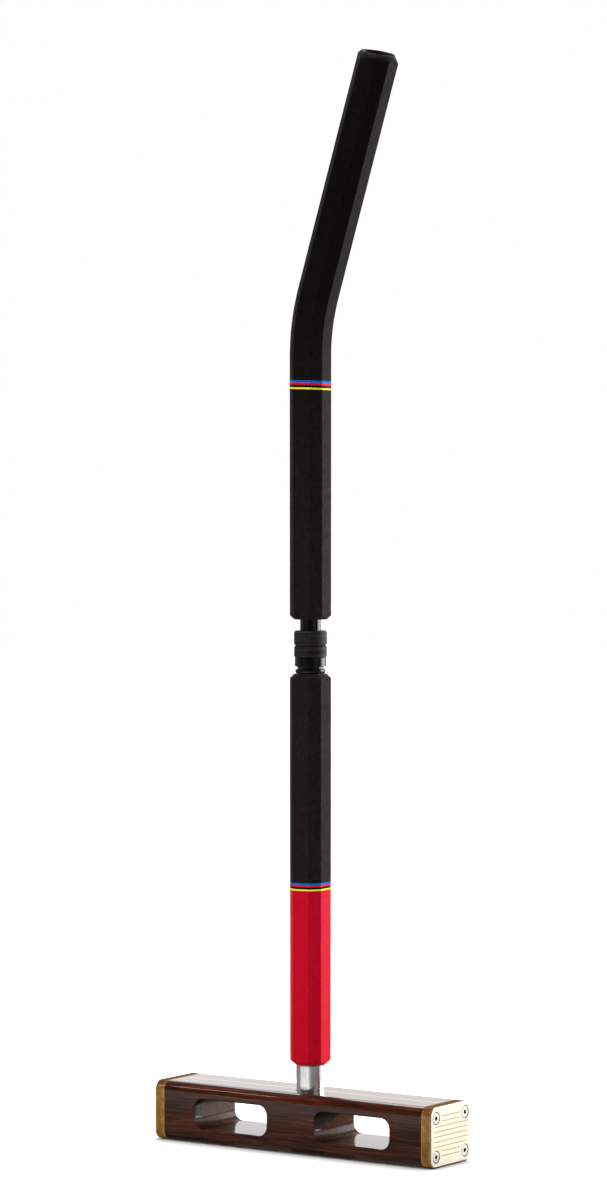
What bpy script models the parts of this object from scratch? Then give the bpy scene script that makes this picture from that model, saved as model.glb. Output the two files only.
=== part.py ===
"""Croquet mallet with a slotted wooden head, faced ends and a two-piece bent handle.

Frame: metres, +Z up.  The origin is the centre of the head's sole, on the ground.
+X runs along the head, towards the end that the handle bends to; +Y runs across it.
"""
import math

import bpy
import bmesh
from mathutils import Matrix, Vector

MM = 0.001

# ----------------------------------------------------------------- dimensions
GAP = 0.3 * MM                    # clearance kept between touching pieces

# head
HEAD_LENGTH = 278.0 * MM          # over both end plates
HEAD_WIDTH = 60.3 * MM
HEAD_HEIGHT = 50.0 * MM
EDGE_RADIUS = 8.0 * MM            # four long edges
PLATE_THICK = 9.8 * MM
WINDOW_INNER = 24.0 * MM          # near edge of each window, from the shaft axis
WINDOW_OUTER = 98.2 * MM
WINDOW_LOW = 12.3 * MM
WINDOW_HIGH = 37.7 * MM
WINDOW_CORNER = 8.5 * MM
SIGHT_WIDTH = 1.4 * MM
SIGHT_DEPTH = 1.0 * MM
SIGHT_START = 13.5 * MM

# striking faces
GROOVE_COUNT = 9
GROOVE_PITCH = 4.1 * MM
GROOVE_WIDTH = 1.8 * MM
GROOVE_DEPTH = 0.5 * MM
GROOVE_LONG = 56.0 * MM
GROOVE_SHORT = 29.0 * MM
SCREW_Y = 21.8 * MM
SCREW_Z = 15.8 * MM               # above and below the middle of the head

# face screws (M5 countersunk, 3 mm hexagon socket) and their inserts
SCREW_HEAD_R = 4.75 * MM
SCREW_SHANK_R = 2.5 * MM
SCREW_LENGTH = 18.0 * MM
SCREW_SOCKET = 3.0 * MM           # across flats
SCREW_SOCKET_DEPTH = 2.0 * MM
INSERT_R = 4.0 * MM
INSERT_LENGTH = 12.0 * MM

# shaft tubes
TUBE_R = 12.0 * MM
TUBE_WALL = 1.5 * MM
TUBE_FOOT = 14.3 * MM             # underside of the lower tube, inside the head
TUBE_SEAT = 14.0 * MM

# anchor bolt below the tube
BOLT_R = 3.0 * MM
BOLT_HEAD_R = 5.0 * MM
BOLT_HEAD_H = 6.0 * MM
BOLT_TOP = 38.0 * MM
BORE_R = 8.2 * MM                 # counterbore in the sole
BORE_DEPTH = 9.0 * MM

# eight-sided grips: half width over the flats, and half a flat
LOW_HALF = 15.40 * MM
UP_HALF = 15.45 * MM
FLAT_RATIO = 0.512                # half a flat as a fraction of the half width
LOW_TURN = math.radians(1.9)      # the lower grip sits this far round from the head
UP_TURN = math.radians(5.3)       # and the upper half this far
RED_BOTTOM = 71.4 * MM
LOW_STRIPE_Z = 217.7 * MM
LOW_STRIPE_PITCH = 1.7 * MM
LOW_GRIP_TOP = 398.1 * MM
UP_GRIP_BOTTOM = 443.5 * MM
UP_STRIPE_Z = 633.8 * MM
UP_STRIPE_PITCH = 2.0 * MM
STRIPE_GAP = 0.3 * MM
# the grips' ends are ground to a cone: its radius at the end, and its rise per unit outwards
RED_END = (12.65 * MM, 1.0)
LOW_TOP_END = (13.7 * MM, 0.98)
UP_FOOT_END = (13.5 * MM, 0.85)
HANDLE_END = (13.3 * MM, 1.6)
CONE_REACH = 6.0 * MM             # how far out the grinding cone is carried

# coupling stations up the shaft
FLANGE_Z = 398.4 * MM
UNDERCUT_Z = 402.2 * MM
RING_Z = 404.2 * MM
NUT_SEAT_Z = 411.8 * MM
GROOVE_LOW_Z = 420.8 * MM
GROOVE_HIGH_Z = 422.6 * MM
NUT_TOP_Z = 434.1 * MM
STUB_TOP_Z = 421.0 * MM
NUT_R = 13.7 * MM
RING_R = 13.27 * MM
FLANGE_R = 12.75 * MM
UNDERCUT_R = 11.0 * MM
STUB_R = 10.4 * MM
NECK_R = 8.85 * MM
SPIGOT_PIN_R = 6.7 * MM
SPIGOT_PIN_FOOT = 381.0 * MM
SOCKET_FOOT = 360.0 * MM
SOCKET_BORE_FOOT = 374.0 * MM
STEM_TOP = 478.0 * MM
CROSS_PIN_R = 1.5 * MM
SOCKET_PIN_Z = 367.0 * MM
SPIGOT_PIN_Z = 463.0 * MM
INDEX_PIN_R = 0.9 * MM
INDEX_PIN_RADIUS = 8.7 * MM

# bend of the upper half
BEND_START_Z = 662.0 * MM
BEND_ANGLE = math.radians(16.3)
BEND_RADIUS = 186.3 * MM
HANDLE_END_Z = 910.3 * MM         # where the axis leaves the end of the handle
END_SKEW_ALONG = 0.03             # the end is cut a little out of square: rise of the
END_SKEW_ACROSS = 0.09            # cut per metre, towards the bend and across it
CAP_RECESS = 2.4 * MM
CAP_HEAD_R = 11.8 * MM
CAP_HEAD_H = 1.8 * MM

SEG = 32                          # facets round the larger turned pieces
SEG_SMALL = 20


# --------------------------------------------------------------- scene set-up
for old in list(bpy.data.objects):
    bpy.data.objects.remove(old, do_unlink=True)

scene_root = bpy.context.scene.collection
parts = bpy.data.collections.new("croquet_mallet")
cutters = bpy.data.collections.new("cutters")
scene_root.children.link(parts)
scene_root.children.link(cutters)


def material(name, colour, roughness, metallic=0.0):
    mat = bpy.data.materials.new(name)
    mat.use_nodes = True
    bsdf = mat.node_tree.nodes["Principled BSDF"]
    bsdf.inputs["Base Color"].default_value = (*colour, 1.0)
    bsdf.inputs["Roughness"].default_value = roughness
    bsdf.inputs["Metallic"].default_value = metallic
    mat.diffuse_color = (*colour, 1.0)
    return mat


def finish(ob, mat, parent=None):
    """Give a piece its own material, smooth shading and its parent."""
    ob.data.materials.clear()
    ob.data.materials.append(mat)
    if ob.type == "MESH":
        ob.data.shade_smooth()
        ob.data.set_sharp_from_angle(angle=math.radians(35.0))
    if parent is not None:
        ob.parent = parent
    return ob


def empty(name, location, turn=0.0, parent=None):
    ob = bpy.data.objects.new(name, None)
    ob.empty_display_size = 0.03
    ob.location = location
    ob.rotation_euler = (0.0, 0.0, turn)
    parts.objects.link(ob)
    if parent is not None:
        ob.parent = parent
    return ob


def link(name, bm, collection):
    bmesh.ops.recalc_face_normals(bm, faces=bm.faces)
    mesh = bpy.data.meshes.new(name)
    bm.to_mesh(mesh)
    bm.free()
    ob = bpy.data.objects.new(name, mesh)
    collection.objects.link(ob)
    if collection == cutters:
        ob.hide_render = True
        ob.display_type = "WIRE"
    return ob


def block(name, size, centre=(0.0, 0.0, 0.0), collection=None, round_axis=None,
          radius=0.0, segments=6):
    """A box, with the four edges along round_axis rounded."""
    bm = bmesh.new()
    bmesh.ops.create_cube(bm, size=1.0)
    bmesh.ops.scale(bm, vec=size, verts=bm.verts)
    if round_axis is not None:
        along = [e for e in bm.edges
                 if abs((e.verts[1].co - e.verts[0].co).normalized()[round_axis]) > 0.99]
        bmesh.ops.bevel(bm, geom=along, offset=radius, offset_type="OFFSET",
                        segments=segments, profile=0.5, affect="EDGES")
    bmesh.ops.translate(bm, vec=centre, verts=bm.verts)
    return link(name, bm, collection or parts)


def rod_cutter(name, spots, radius, length, axis, segments=SEG_SMALL, taper=None):
    """Straight round cutters of one size, one at each spot (their middles)."""
    bm = bmesh.new()
    turn = {0: Matrix.Rotation(math.radians(90.0), 4, "Y"),
            1: Matrix.Rotation(math.radians(90.0), 4, "X"),
            2: Matrix.Identity(4)}[axis]
    for spot in spots:
        bmesh.ops.create_cone(bm, cap_ends=True, segments=segments, radius1=radius,
                              radius2=radius if taper is None else taper, depth=length,
                              matrix=Matrix.Translation(spot) @ turn)
    return link(name, bm, cutters)


def turned(name, profile, collection=None, segments=SEG, closed=False):
    """Turn a profile of (radius, height) points about Z.

    An open profile starts and ends on the axis and runs down its outer side.
    A closed one is the section of a ring, its outer side taken downwards.
    """
    mesh = bpy.data.meshes.new(name)
    count = len(profile)
    edges = [(i, i + 1) for i in range(count - 1)]
    if closed:
        edges.append((count - 1, 0))
    mesh.from_pydata([(r, 0.0, z) for r, z in profile], edges, [])
    ob = bpy.data.objects.new(name, mesh)
    (collection or parts).objects.link(ob)
    screw = ob.modifiers.new("Turn", "SCREW")
    screw.axis = "Z"
    screw.angle = math.tau
    screw.steps = segments
    screw.render_steps = segments
    screw.use_merge_vertices = True
    screw.merge_threshold = 0.00001
    screw.use_smooth_shade = True
    if collection == cutters:
        ob.hide_render = True
        ob.display_type = "WIRE"
    return ob


def cut(ob, *tools):
    for tool in tools:
        mod = ob.modifiers.new("Cut", "BOOLEAN")
        mod.operation = "DIFFERENCE"
        mod.solver = "EXACT"
        mod.object = tool
    return ob


def octagon(half):
    """A square with cut corners: the points of its outline, anticlockwise."""
    flat = half * FLAT_RATIO
    return [(half, -flat), (half, flat), (flat, half), (-flat, half),
            (-half, flat), (-half, -flat), (-flat, -half), (flat, -half)]


def circle(radius, segments):
    return [(radius * math.cos(math.tau * i / segments),
             radius * math.sin(math.tau * i / segments)) for i in range(segments)]


def swept(name, outline, path, scales, collection=None):
    """Carry a closed outline along a path; scales holds its size at each point."""
    section = bpy.data.curves.new(name + "_section", "CURVE")
    section.dimensions = "2D"
    loop = section.splines.new("POLY")
    loop.points.add(len(outline) - 1)
    for point, (x, y) in zip(loop.points, outline):
        point.co = (x, y, 0.0, 1.0)
    loop.use_cyclic_u = True
    section_ob = bpy.data.objects.new(name + "_section", section)
    cutters.objects.link(section_ob)

    run = bpy.data.curves.new(name + "_path", "CURVE")
    run.dimensions = "3D"
    run.bevel_mode = "OBJECT"
    run.bevel_object = section_ob
    run.use_fill_caps = True
    line = run.splines.new("POLY")
    line.points.add(len(path) - 1)
    for point, spot, scale in zip(line.points, path, scales):
        point.co = (*spot, 1.0)
        point.radius = scale
    run_ob = bpy.data.objects.new(name + "_path", run)
    cutters.objects.link(run_ob)

    bpy.context.view_layer.update()
    graph = bpy.context.evaluated_depsgraph_get()
    mesh = bpy.data.meshes.new_from_object(run_ob.evaluated_get(graph))
    mesh.name = name
    bm = bmesh.new()
    bm.from_mesh(mesh)
    bmesh.ops.remove_doubles(bm, verts=bm.verts, dist=0.000005)
    bmesh.ops.recalc_face_normals(bm, faces=bm.faces)
    bm.to_mesh(mesh)
    bm.free()
    ob = bpy.data.objects.new(name, mesh)
    ob.matrix_world = run_ob.matrix_world
    (collection or parts).objects.link(ob)
    bpy.data.objects.remove(run_ob, do_unlink=True)
    bpy.data.objects.remove(section_ob, do_unlink=True)
    if collection == cutters:
        ob.hide_render = True
        ob.display_type = "WIRE"
    return ob


# ------------------------------------------------------------------ materials
def rosewood(name):
    return material(name, (0.060, 0.022, 0.014), 0.22)


def brass(name):
    return material(name, (0.62, 0.40, 0.15), 0.34, 1.0)


def steel(name):
    return material(name, (0.60, 0.59, 0.57), 0.30, 1.0)


def aluminium(name):
    return material(name, (0.72, 0.72, 0.73), 0.28, 1.0)


def black_anodised(name):
    return material(name, (0.022, 0.022, 0.024), 0.36, 0.6)


def black_foam(name):
    return material(name, (0.012, 0.010, 0.009), 0.85)


def red_foam(name):
    return material(name, (0.42, 0.004, 0.024), 0.80)


def plastic(name):
    return material(name, (0.020, 0.020, 0.022), 0.55)


STRIPE_COLOURS = [("yellow", (0.90, 0.68, 0.03)), ("black", (0.012, 0.010, 0.010)),
                  ("red", (0.68, 0.010, 0.035)), ("blue", (0.010, 0.090, 0.55))]

# -------------------------------------------------------------------- empties
root = empty("mallet_root", (0.0, 0.0, 0.0))
lower_axis = empty("lower_shaft_axis", (0.0, 0.0, TUBE_SEAT), LOW_TURN, root)
handle_axis = empty("handle_axis", (0.0, 0.0, STUB_TOP_Z), UP_TURN, root)
nut_axis = empty("nut_axis", (0.0, 0.0, NUT_SEAT_Z), 0.0, handle_axis)


def ride_on(ob, parent):
    """Hang a piece, built in shaft coordinates, on an empty of the shaft axis."""
    height = parent.location.z
    if parent is nut_axis:
        height = handle_axis.location.z
    ob.parent = parent
    if parent is nut_axis:
        ob.location = (0.0, 0.0, -handle_axis.location.z - nut_axis.location.z)
    else:
        ob.location = (0.0, 0.0, -height)
    return ob


nut_axis.location = (0.0, 0.0, NUT_SEAT_Z - STUB_TOP_Z)

# ------------------------------------------------------------------ head body
wood_length = HEAD_LENGTH - 2.0 * (PLATE_THICK + GAP)
head_mid = HEAD_HEIGHT / 2.0

window_length = WINDOW_OUTER - WINDOW_INNER
window_height = WINDOW_HIGH - WINDOW_LOW
window_cutters = []
for side, sign in (("left", -1.0), ("right", 1.0)):
    window_cutters.append(block(
        "window_cut_" + side, (window_length, HEAD_WIDTH + 20.0 * MM, window_height),
        (sign * (WINDOW_INNER + WINDOW_OUTER) / 2.0, 0.0, (WINDOW_LOW + WINDOW_HIGH) / 2.0),
        cutters, round_axis=1, radius=WINDOW_CORNER, segments=6))

mortise_r = TUBE_R + GAP
mortise = turned("mortise_cut", [
    (0.0, HEAD_HEIGHT + 4.0 * MM), (mortise_r, HEAD_HEIGHT + 4.0 * MM),
    (mortise_r, TUBE_SEAT), (BOLT_R + GAP, TUBE_SEAT),
    (BOLT_R + GAP, BORE_DEPTH), (BORE_R, BORE_DEPTH), (BORE_R, -3.0 * MM),
    (0.0, -3.0 * MM)], cutters)

wood_end = wood_length / 2.0
insert_hole_depth = INSERT_LENGTH + 2.0 * GAP
screw_spots = [(y, head_mid + z) for z in (SCREW_Z, -SCREW_Z) for y in (-SCREW_Y, SCREW_Y)]
insert_holes = rod_cutter(
    "insert_hole_cut",
    [Vector((sign * (wood_end + 5.0 * MM - (insert_hole_depth + 5.0 * MM) / 2.0), y, z))
     for sign in (-1.0, 1.0) for y, z in screw_spots],
    INSERT_R + GAP, insert_hole_depth + 5.0 * MM, 0)

sight_cutters = []
sight_end = wood_end - 2.0 * MM
for side, sign in (("left", -1.0), ("right", 1.0)):
    middle = sign * (SIGHT_START + sight_end) / 2.0
    length = sight_end - SIGHT_START
    sight_cutters.append(block(
        "sight_cut_" + side, (length + 2.0 * GAP, SIGHT_WIDTH + 2.0 * GAP, 4.0 * MM),
        (middle, 0.0, HEAD_HEIGHT - SIGHT_DEPTH - GAP + 2.0 * MM), cutters))
    strip = block("sight_line_" + side, (length, SIGHT_WIDTH, SIGHT_DEPTH),
                  (middle, 0.0, HEAD_HEIGHT - SIGHT_DEPTH / 2.0))
    finish(strip, material("pale_inlay_" + side, (0.80, 0.74, 0.62), 0.35), root)

head_body = block("head_body", (wood_length, HEAD_WIDTH, HEAD_HEIGHT),
                  (0.0, 0.0, head_mid), parts, round_axis=0, radius=EDGE_RADIUS, segments=6)
finish(head_body, rosewood("rosewood_head"), root)
cut(head_body, *window_cutters, mortise, insert_holes, *sight_cutters)

# ----------------------------------------------------------------- end plates
countersink_reach = 40.0 * MM
for side, sign in (("left", -1.0), ("right", 1.0)):
    face_x = sign * HEAD_LENGTH / 2.0
    plate = block("end_plate_" + side, (PLATE_THICK, HEAD_WIDTH, HEAD_HEIGHT),
                  (sign * (HEAD_LENGTH - PLATE_THICK) / 2.0, 0.0, head_mid),
                  parts, round_axis=0, radius=EDGE_RADIUS, segments=6)
    finish(plate, brass("brass_plate_" + side), root)

    through = rod_cutter("screw_hole_cut_" + side,
                         [Vector((sign * (HEAD_LENGTH - PLATE_THICK) / 2.0, y, z))
                          for y, z in screw_spots],
                         SCREW_SHANK_R + GAP, PLATE_THICK + 6.0 * MM, 0)

    bm = bmesh.new()
    sink_r = SCREW_HEAD_R + 2.0 * GAP     # widest, at the face
    sink_depth = sink_r - SCREW_SHANK_R
    rise = 1.0 * MM                       # how far the sinking tool stands proud
    for y, z in screw_spots:
        tilt = Matrix.Rotation(math.radians(90.0 if sign > 0 else -90.0), 4, "Y")
        middle = face_x + sign * (rise - (sink_depth + rise) / 2.0)
        bmesh.ops.create_cone(bm, cap_ends=True, segments=SEG_SMALL,
                              radius1=SCREW_SHANK_R, radius2=sink_r + rise,
                              depth=sink_depth + rise,
                              matrix=Matrix.Translation((middle, y, z)) @ tilt)
    sink = link("countersink_cut_" + side, bm, cutters)

    bm = bmesh.new()
    for i in range(GROOVE_COUNT):
        step = i - (GROOVE_COUNT - 1) / 2.0
        length = GROOVE_LONG if abs(step) <= 2.0 else GROOVE_SHORT
        made = bmesh.ops.create_cube(bm, size=1.0)["verts"]
        bmesh.ops.scale(bm, vec=(2.0 * GROOVE_DEPTH, length, GROOVE_WIDTH), verts=made)
        bmesh.ops.translate(bm, vec=(face_x, 0.0, head_mid + step * GROOVE_PITCH),
                            verts=made)
    grooves = link("groove_cut_" + side, bm, cutters)
    cut(plate, through, sink, grooves)

# ------------------------------------------------- face screws and insert nuts
socket_r = SCREW_SOCKET / math.sqrt(3.0)
for side, sign in (("left", -1.0), ("right", 1.0)):
    turn_out = (0.0, math.radians(90.0) * sign, 0.0)
    for label, (y, z) in zip(("upper_front", "upper_back", "lower_front", "lower_back"),
                             screw_spots):
        screw = turned("face_screw_%s_%s" % (side, label), [
            (0.0, 0.0), (SCREW_HEAD_R - 0.2 * MM, 0.0), (SCREW_HEAD_R, -0.2 * MM),
            (SCREW_SHANK_R, -0.2 * MM - (SCREW_HEAD_R - SCREW_SHANK_R)),
            (SCREW_SHANK_R, -SCREW_LENGTH + 0.6 * MM),
            (SCREW_SHANK_R - 0.6 * MM, -SCREW_LENGTH), (0.0, -SCREW_LENGTH)],
            segments=SEG_SMALL)
        bm = bmesh.new()
        bmesh.ops.create_cone(bm, cap_ends=True, segments=6, radius1=socket_r,
                              radius2=socket_r, depth=2.0 * SCREW_SOCKET_DEPTH)
        hexagon = link("hex_cut_%s_%s" % (side, label), bm, cutters)
        spot = (sign * (HEAD_LENGTH / 2.0 - 0.15 * MM), y, z)
        for ob in (screw, hexagon):
            ob.location = spot
            ob.rotation_euler = turn_out
        finish(screw, steel("screw_steel_%s_%s" % (side, label)), root)
        cut(screw, hexagon)

        insert = turned("insert_%s_%s" % (side, label), [
            (INSERT_R, INSERT_LENGTH / 2.0), (INSERT_R, -INSERT_LENGTH / 2.0),
            (SCREW_SHANK_R + GAP, -INSERT_LENGTH / 2.0),
            (SCREW_SHANK_R + GAP, INSERT_LENGTH / 2.0)],
            segments=16, closed=True)
        insert.location = (sign * (wood_end - GAP - INSERT_LENGTH / 2.0), y, z)
        insert.rotation_euler = turn_out
        finish(insert, brass("insert_brass_%s_%s" % (side, label)), root)

# ----------------------------------------------------------------- lower shaft
bore_r = TUBE_R - TUBE_WALL
lower_tube = turned("lower_tube", [
    (TUBE_R, LOW_GRIP_TOP), (TUBE_R, TUBE_FOOT), (bore_r, TUBE_FOOT),
    (bore_r, LOW_GRIP_TOP)], closed=True)
ride_on(finish(lower_tube, aluminium("tube_aluminium_lower")), lower_axis)

plug = turned("tube_plug", [
    (bore_r - GAP, 46.0 * MM), (bore_r - GAP, TUBE_FOOT), (BOLT_R + GAP, TUBE_FOOT),
    (BOLT_R + GAP, 46.0 * MM)], closed=True)
ride_on(finish(plug, aluminium("plug_aluminium")), lower_axis)

washer = turned("anchor_washer", [
    (7.6 * MM, BORE_DEPTH - GAP), (7.6 * MM, BORE_DEPTH - GAP - 1.2 * MM),
    (BOLT_R + GAP, BORE_DEPTH - GAP - 1.2 * MM), (BOLT_R + GAP, BORE_DEPTH - GAP)],
    segments=24, closed=True)
finish(washer, steel("washer_steel"), root)

bolt_head_top = BORE_DEPTH - 2.0 * GAP - 1.2 * MM
bolt_head_low = bolt_head_top - BOLT_HEAD_H
bolt = turned("anchor_bolt", [
    (0.0, BOLT_TOP), (BOLT_R - 0.6 * MM, BOLT_TOP), (BOLT_R, BOLT_TOP - 0.6 * MM),
    (BOLT_R, bolt_head_top), (BOLT_HEAD_R, bolt_head_top),
    (BOLT_HEAD_R, bolt_head_low + 0.5 * MM), (BOLT_HEAD_R - 0.5 * MM, bolt_head_low),
    (0.0, bolt_head_low)], segments=24)
finish(bolt, steel("bolt_steel"), root)
bolt_key = rod_cutter("bolt_key_cut", [Vector((0.0, 0.0, bolt_head_low))],
                      5.0 * MM / math.sqrt(3.0), 6.0 * MM, 2, segments=6)
cut(bolt, bolt_key)


def grinding_cone(name, level, end, sign):
    """A ring that takes a grip's end down to a cone; sign is +1 at an upper end."""
    radius, rise = end
    past = level + sign * 3.0 * MM
    back = level - sign * rise * CONE_REACH
    rim = radius + CONE_REACH
    if sign > 0:
        section = [(rim, past), (rim, back), (radius, level), (radius, past)]
    else:
        section = [(rim, back), (rim, past), (radius, past), (radius, level)]
    return turned(name, section, cutters, closed=True)


def straight_grip(name, half_low, half_high, low, high, low_end, high_end, mat,
                  parent, bore):
    """An eight-sided grip; an end is ground to the cone given, or None leaves it square."""
    half = max(half_low, half_high)
    ob = swept(name, octagon(half), [(0.0, 0.0, low), (0.0, 0.0, high)],
               [half_low / half, half_high / half])
    finish(ob, mat)
    ride_on(ob, parent)
    for label, level, end, sign in (("low", low, low_end, -1.0), ("high", high, high_end, 1.0)):
        if end:
            cone = grinding_cone(name + "_cone_cut_" + label, level, end, sign)
            ride_on(cone, parent)
            cut(ob, cone)
    hole = rod_cutter(name + "_bore_cut", [Vector((0.0, 0.0, (low + high) / 2.0))], bore,
                      high - low + 10.0 * MM, 2, segments=24)
    ride_on(hole, parent)
    return cut(ob, hole)


grip_bore = TUBE_R + GAP
straight_grip("lower_grip_red", 14.60 * MM, 14.72 * MM, RED_BOTTOM,
              LOW_STRIPE_Z - STRIPE_GAP / 2.0, RED_END, None,
              red_foam("foam_red"), lower_axis, grip_bore)
straight_grip("lower_grip_black", 14.74 * MM, 14.90 * MM,
              LOW_STRIPE_Z + 4.0 * LOW_STRIPE_PITCH + STRIPE_GAP / 2.0, LOW_GRIP_TOP,
              None, LOW_TOP_END, black_foam("foam_black_lower"), lower_axis,
              grip_bore)


def stripe_rings(prefix, start, pitch, half, parent):
    for i, (label, colour) in enumerate(STRIPE_COLOURS):
        low = start + i * pitch + STRIPE_GAP / 2.0
        high = start + (i + 1) * pitch - STRIPE_GAP / 2.0
        name = "%s_stripe_%s" % (prefix, label)
        straight_grip(name, half, half, low, high, None, None,
                      material("foam_%s_%s" % (label, prefix), colour, 0.75), parent,
                      grip_bore)


stripe_rings("lower", LOW_STRIPE_Z, LOW_STRIPE_PITCH, 14.76 * MM, lower_axis)

# -------------------------------------------------------------------- coupling
socket = turned("coupling_socket", [
    (SPIGOT_PIN_R + GAP, STUB_TOP_Z), (STUB_R - 0.4 * MM, STUB_TOP_Z),
    (STUB_R, STUB_TOP_Z - 0.4 * MM), (STUB_R, NUT_SEAT_Z),
    (RING_R - 0.4 * MM, NUT_SEAT_Z), (RING_R, NUT_SEAT_Z - 0.4 * MM),
    (RING_R, RING_Z + 0.4 * MM), (RING_R - 0.4 * MM, RING_Z),
    (UNDERCUT_R, RING_Z), (UNDERCUT_R, UNDERCUT_Z),
    (FLANGE_R - 0.5 * MM, UNDERCUT_Z), (FLANGE_R, UNDERCUT_Z - 0.6 * MM),
    (FLANGE_R - 0.1 * MM, UNDERCUT_Z - 2.2 * MM), (FLANGE_R - 0.7 * MM, FLANGE_Z),
    (bore_r - GAP, FLANGE_Z), (bore_r - GAP, SOCKET_FOOT),
    (0.0, SOCKET_FOOT), (0.0, SOCKET_BORE_FOOT), (SPIGOT_PIN_R + GAP, SOCKET_BORE_FOOT)],
    closed=True)
ride_on(finish(socket, black_anodised("anodised_socket")), lower_axis)

index_x = INDEX_PIN_RADIUS
index_hole = rod_cutter("index_hole_cut", [Vector((index_x, 0.0, STUB_TOP_Z))],
                        INDEX_PIN_R + GAP, 11.0 * MM, 2, segments=12)
ride_on(index_hole, handle_axis)
index_pin = turned("index_pin", [
    (0.0, STUB_TOP_Z + 1.9 * MM), (INDEX_PIN_R - 0.3 * MM, STUB_TOP_Z + 1.9 * MM),
    (INDEX_PIN_R, STUB_TOP_Z + 1.6 * MM), (INDEX_PIN_R, STUB_TOP_Z - 5.0 * MM),
    (0.0, STUB_TOP_Z - 5.0 * MM)], segments=12)
finish(index_pin, steel("pin_steel_index"), root)
index_pin.location = (index_x * math.cos(UP_TURN), index_x * math.sin(UP_TURN), 0.0)

spigot_low = STUB_TOP_Z + GAP
flange_high = spigot_low + 3.0 * MM
spigot = turned("coupling_spigot", [
    (0.0, STEM_TOP), (bore_r - GAP, STEM_TOP), (bore_r - GAP, UP_GRIP_BOTTOM + 0.5 * MM),
    (NECK_R, UP_GRIP_BOTTOM + 0.5 * MM), (NECK_R, flange_high), (STUB_R, flange_high),
    (STUB_R, spigot_low), (SPIGOT_PIN_R, spigot_low),
    (SPIGOT_PIN_R, SPIGOT_PIN_FOOT + 1.0 * MM), (SPIGOT_PIN_R - 1.0 * MM, SPIGOT_PIN_FOOT),
    (0.0, SPIGOT_PIN_FOOT)])
ride_on(finish(spigot, black_anodised("anodised_spigot")), handle_axis)

cross_low = rod_cutter("cross_hole_cut_lower", [Vector((0.0, 0.0, SOCKET_PIN_Z))],
                       CROSS_PIN_R + GAP, 40.0 * MM, 1, segments=16)
ride_on(cross_low, lower_axis)
cut(socket, cross_low, index_hole)
cut(lower_tube, cross_low)
cross_high = rod_cutter("cross_hole_cut_upper", [Vector((0.0, 0.0, SPIGOT_PIN_Z))],
                        CROSS_PIN_R + GAP, 40.0 * MM, 1, segments=16)
ride_on(cross_high, handle_axis)
cut(spigot, cross_high, index_hole)

for name, z, parent in (("socket_pin", SOCKET_PIN_Z, lower_axis),
                        ("spigot_pin", SPIGOT_PIN_Z, handle_axis)):
    bm = bmesh.new()
    bmesh.ops.create_cone(bm, cap_ends=True, segments=16, radius1=CROSS_PIN_R,
                          radius2=CROSS_PIN_R, depth=2.0 * TUBE_R - 0.6 * MM,
                          matrix=Matrix.Translation((0.0, 0.0, z))
                          @ Matrix.Rotation(math.radians(90.0), 4, "X"))
    pin = link(name, bm, parts)
    ride_on(finish(pin, steel("pin_steel_" + name)), parent)

slip_low = flange_high + GAP
slip_high = slip_low + 1.0 * MM
slip = turned("slip_washer", [
    (STUB_R, slip_high), (STUB_R, slip_low), (NECK_R + GAP, slip_low),
    (NECK_R + GAP, slip_high)], closed=True)
ride_on(finish(slip, plastic("washer_nylon")), nut_axis)

nut_foot = NUT_SEAT_Z + GAP
nut_shoulder = slip_high + GAP
groove_mid = (GROOVE_LOW_Z + GROOVE_HIGH_Z) / 2.0
nut = turned("coupling_nut", [
    (NUT_R - 1.1 * MM, NUT_TOP_Z), (NUT_R, NUT_TOP_Z - 1.5 * MM),
    (NUT_R, GROOVE_HIGH_Z), (NUT_R - 0.7 * MM, groove_mid), (NUT_R, GROOVE_LOW_Z),
    (NUT_R, nut_foot + 0.3 * MM), (NUT_R - 0.3 * MM, nut_foot),
    (STUB_R + GAP, nut_foot), (STUB_R + GAP, nut_shoulder),
    (NECK_R + GAP, nut_shoulder), (NECK_R + GAP, NUT_TOP_Z)], closed=True)
ride_on(finish(nut, black_anodised("anodised_nut")), nut_axis)

# ----------------------------------------------------------------- upper shaft
straight_grip("upper_grip_straight", 15.00 * MM, 15.12 * MM, UP_GRIP_BOTTOM,
              UP_STRIPE_Z - STRIPE_GAP / 2.0, UP_FOOT_END, None,
              black_foam("foam_black_middle"), handle_axis, grip_bore)
stripe_rings("upper", UP_STRIPE_Z, UP_STRIPE_PITCH, 15.14 * MM, handle_axis)

bend_rise = BEND_RADIUS * math.sin(BEND_ANGLE)
bend_shift = BEND_RADIUS * (1.0 - math.cos(BEND_ANGLE))
bend_length = BEND_RADIUS * BEND_ANGLE
last_run = (HANDLE_END_Z - BEND_START_Z - bend_rise) / math.cos(BEND_ANGLE)
BEND_STEPS = 10


def on_axis(along):
    """A point of the upper axis, measured up it from where the bend begins."""
    if along <= 0.0:
        return Vector((0.0, 0.0, BEND_START_Z + along))
    if along <= bend_length:
        angle = along / BEND_RADIUS
        return Vector((BEND_RADIUS * (1.0 - math.cos(angle)), 0.0,
                       BEND_START_Z + BEND_RADIUS * math.sin(angle)))
    rest = along - bend_length
    return Vector((bend_shift + rest * math.sin(BEND_ANGLE), 0.0,
                   BEND_START_Z + bend_rise + rest * math.cos(BEND_ANGLE)))


def bent_run(start, end):
    """Stations along the bent axis, close together only round the bend."""
    stops = [start]
    stops += [bend_length * i / BEND_STEPS for i in range(BEND_STEPS + 1)]
    stops.append(end)
    return stops


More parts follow.
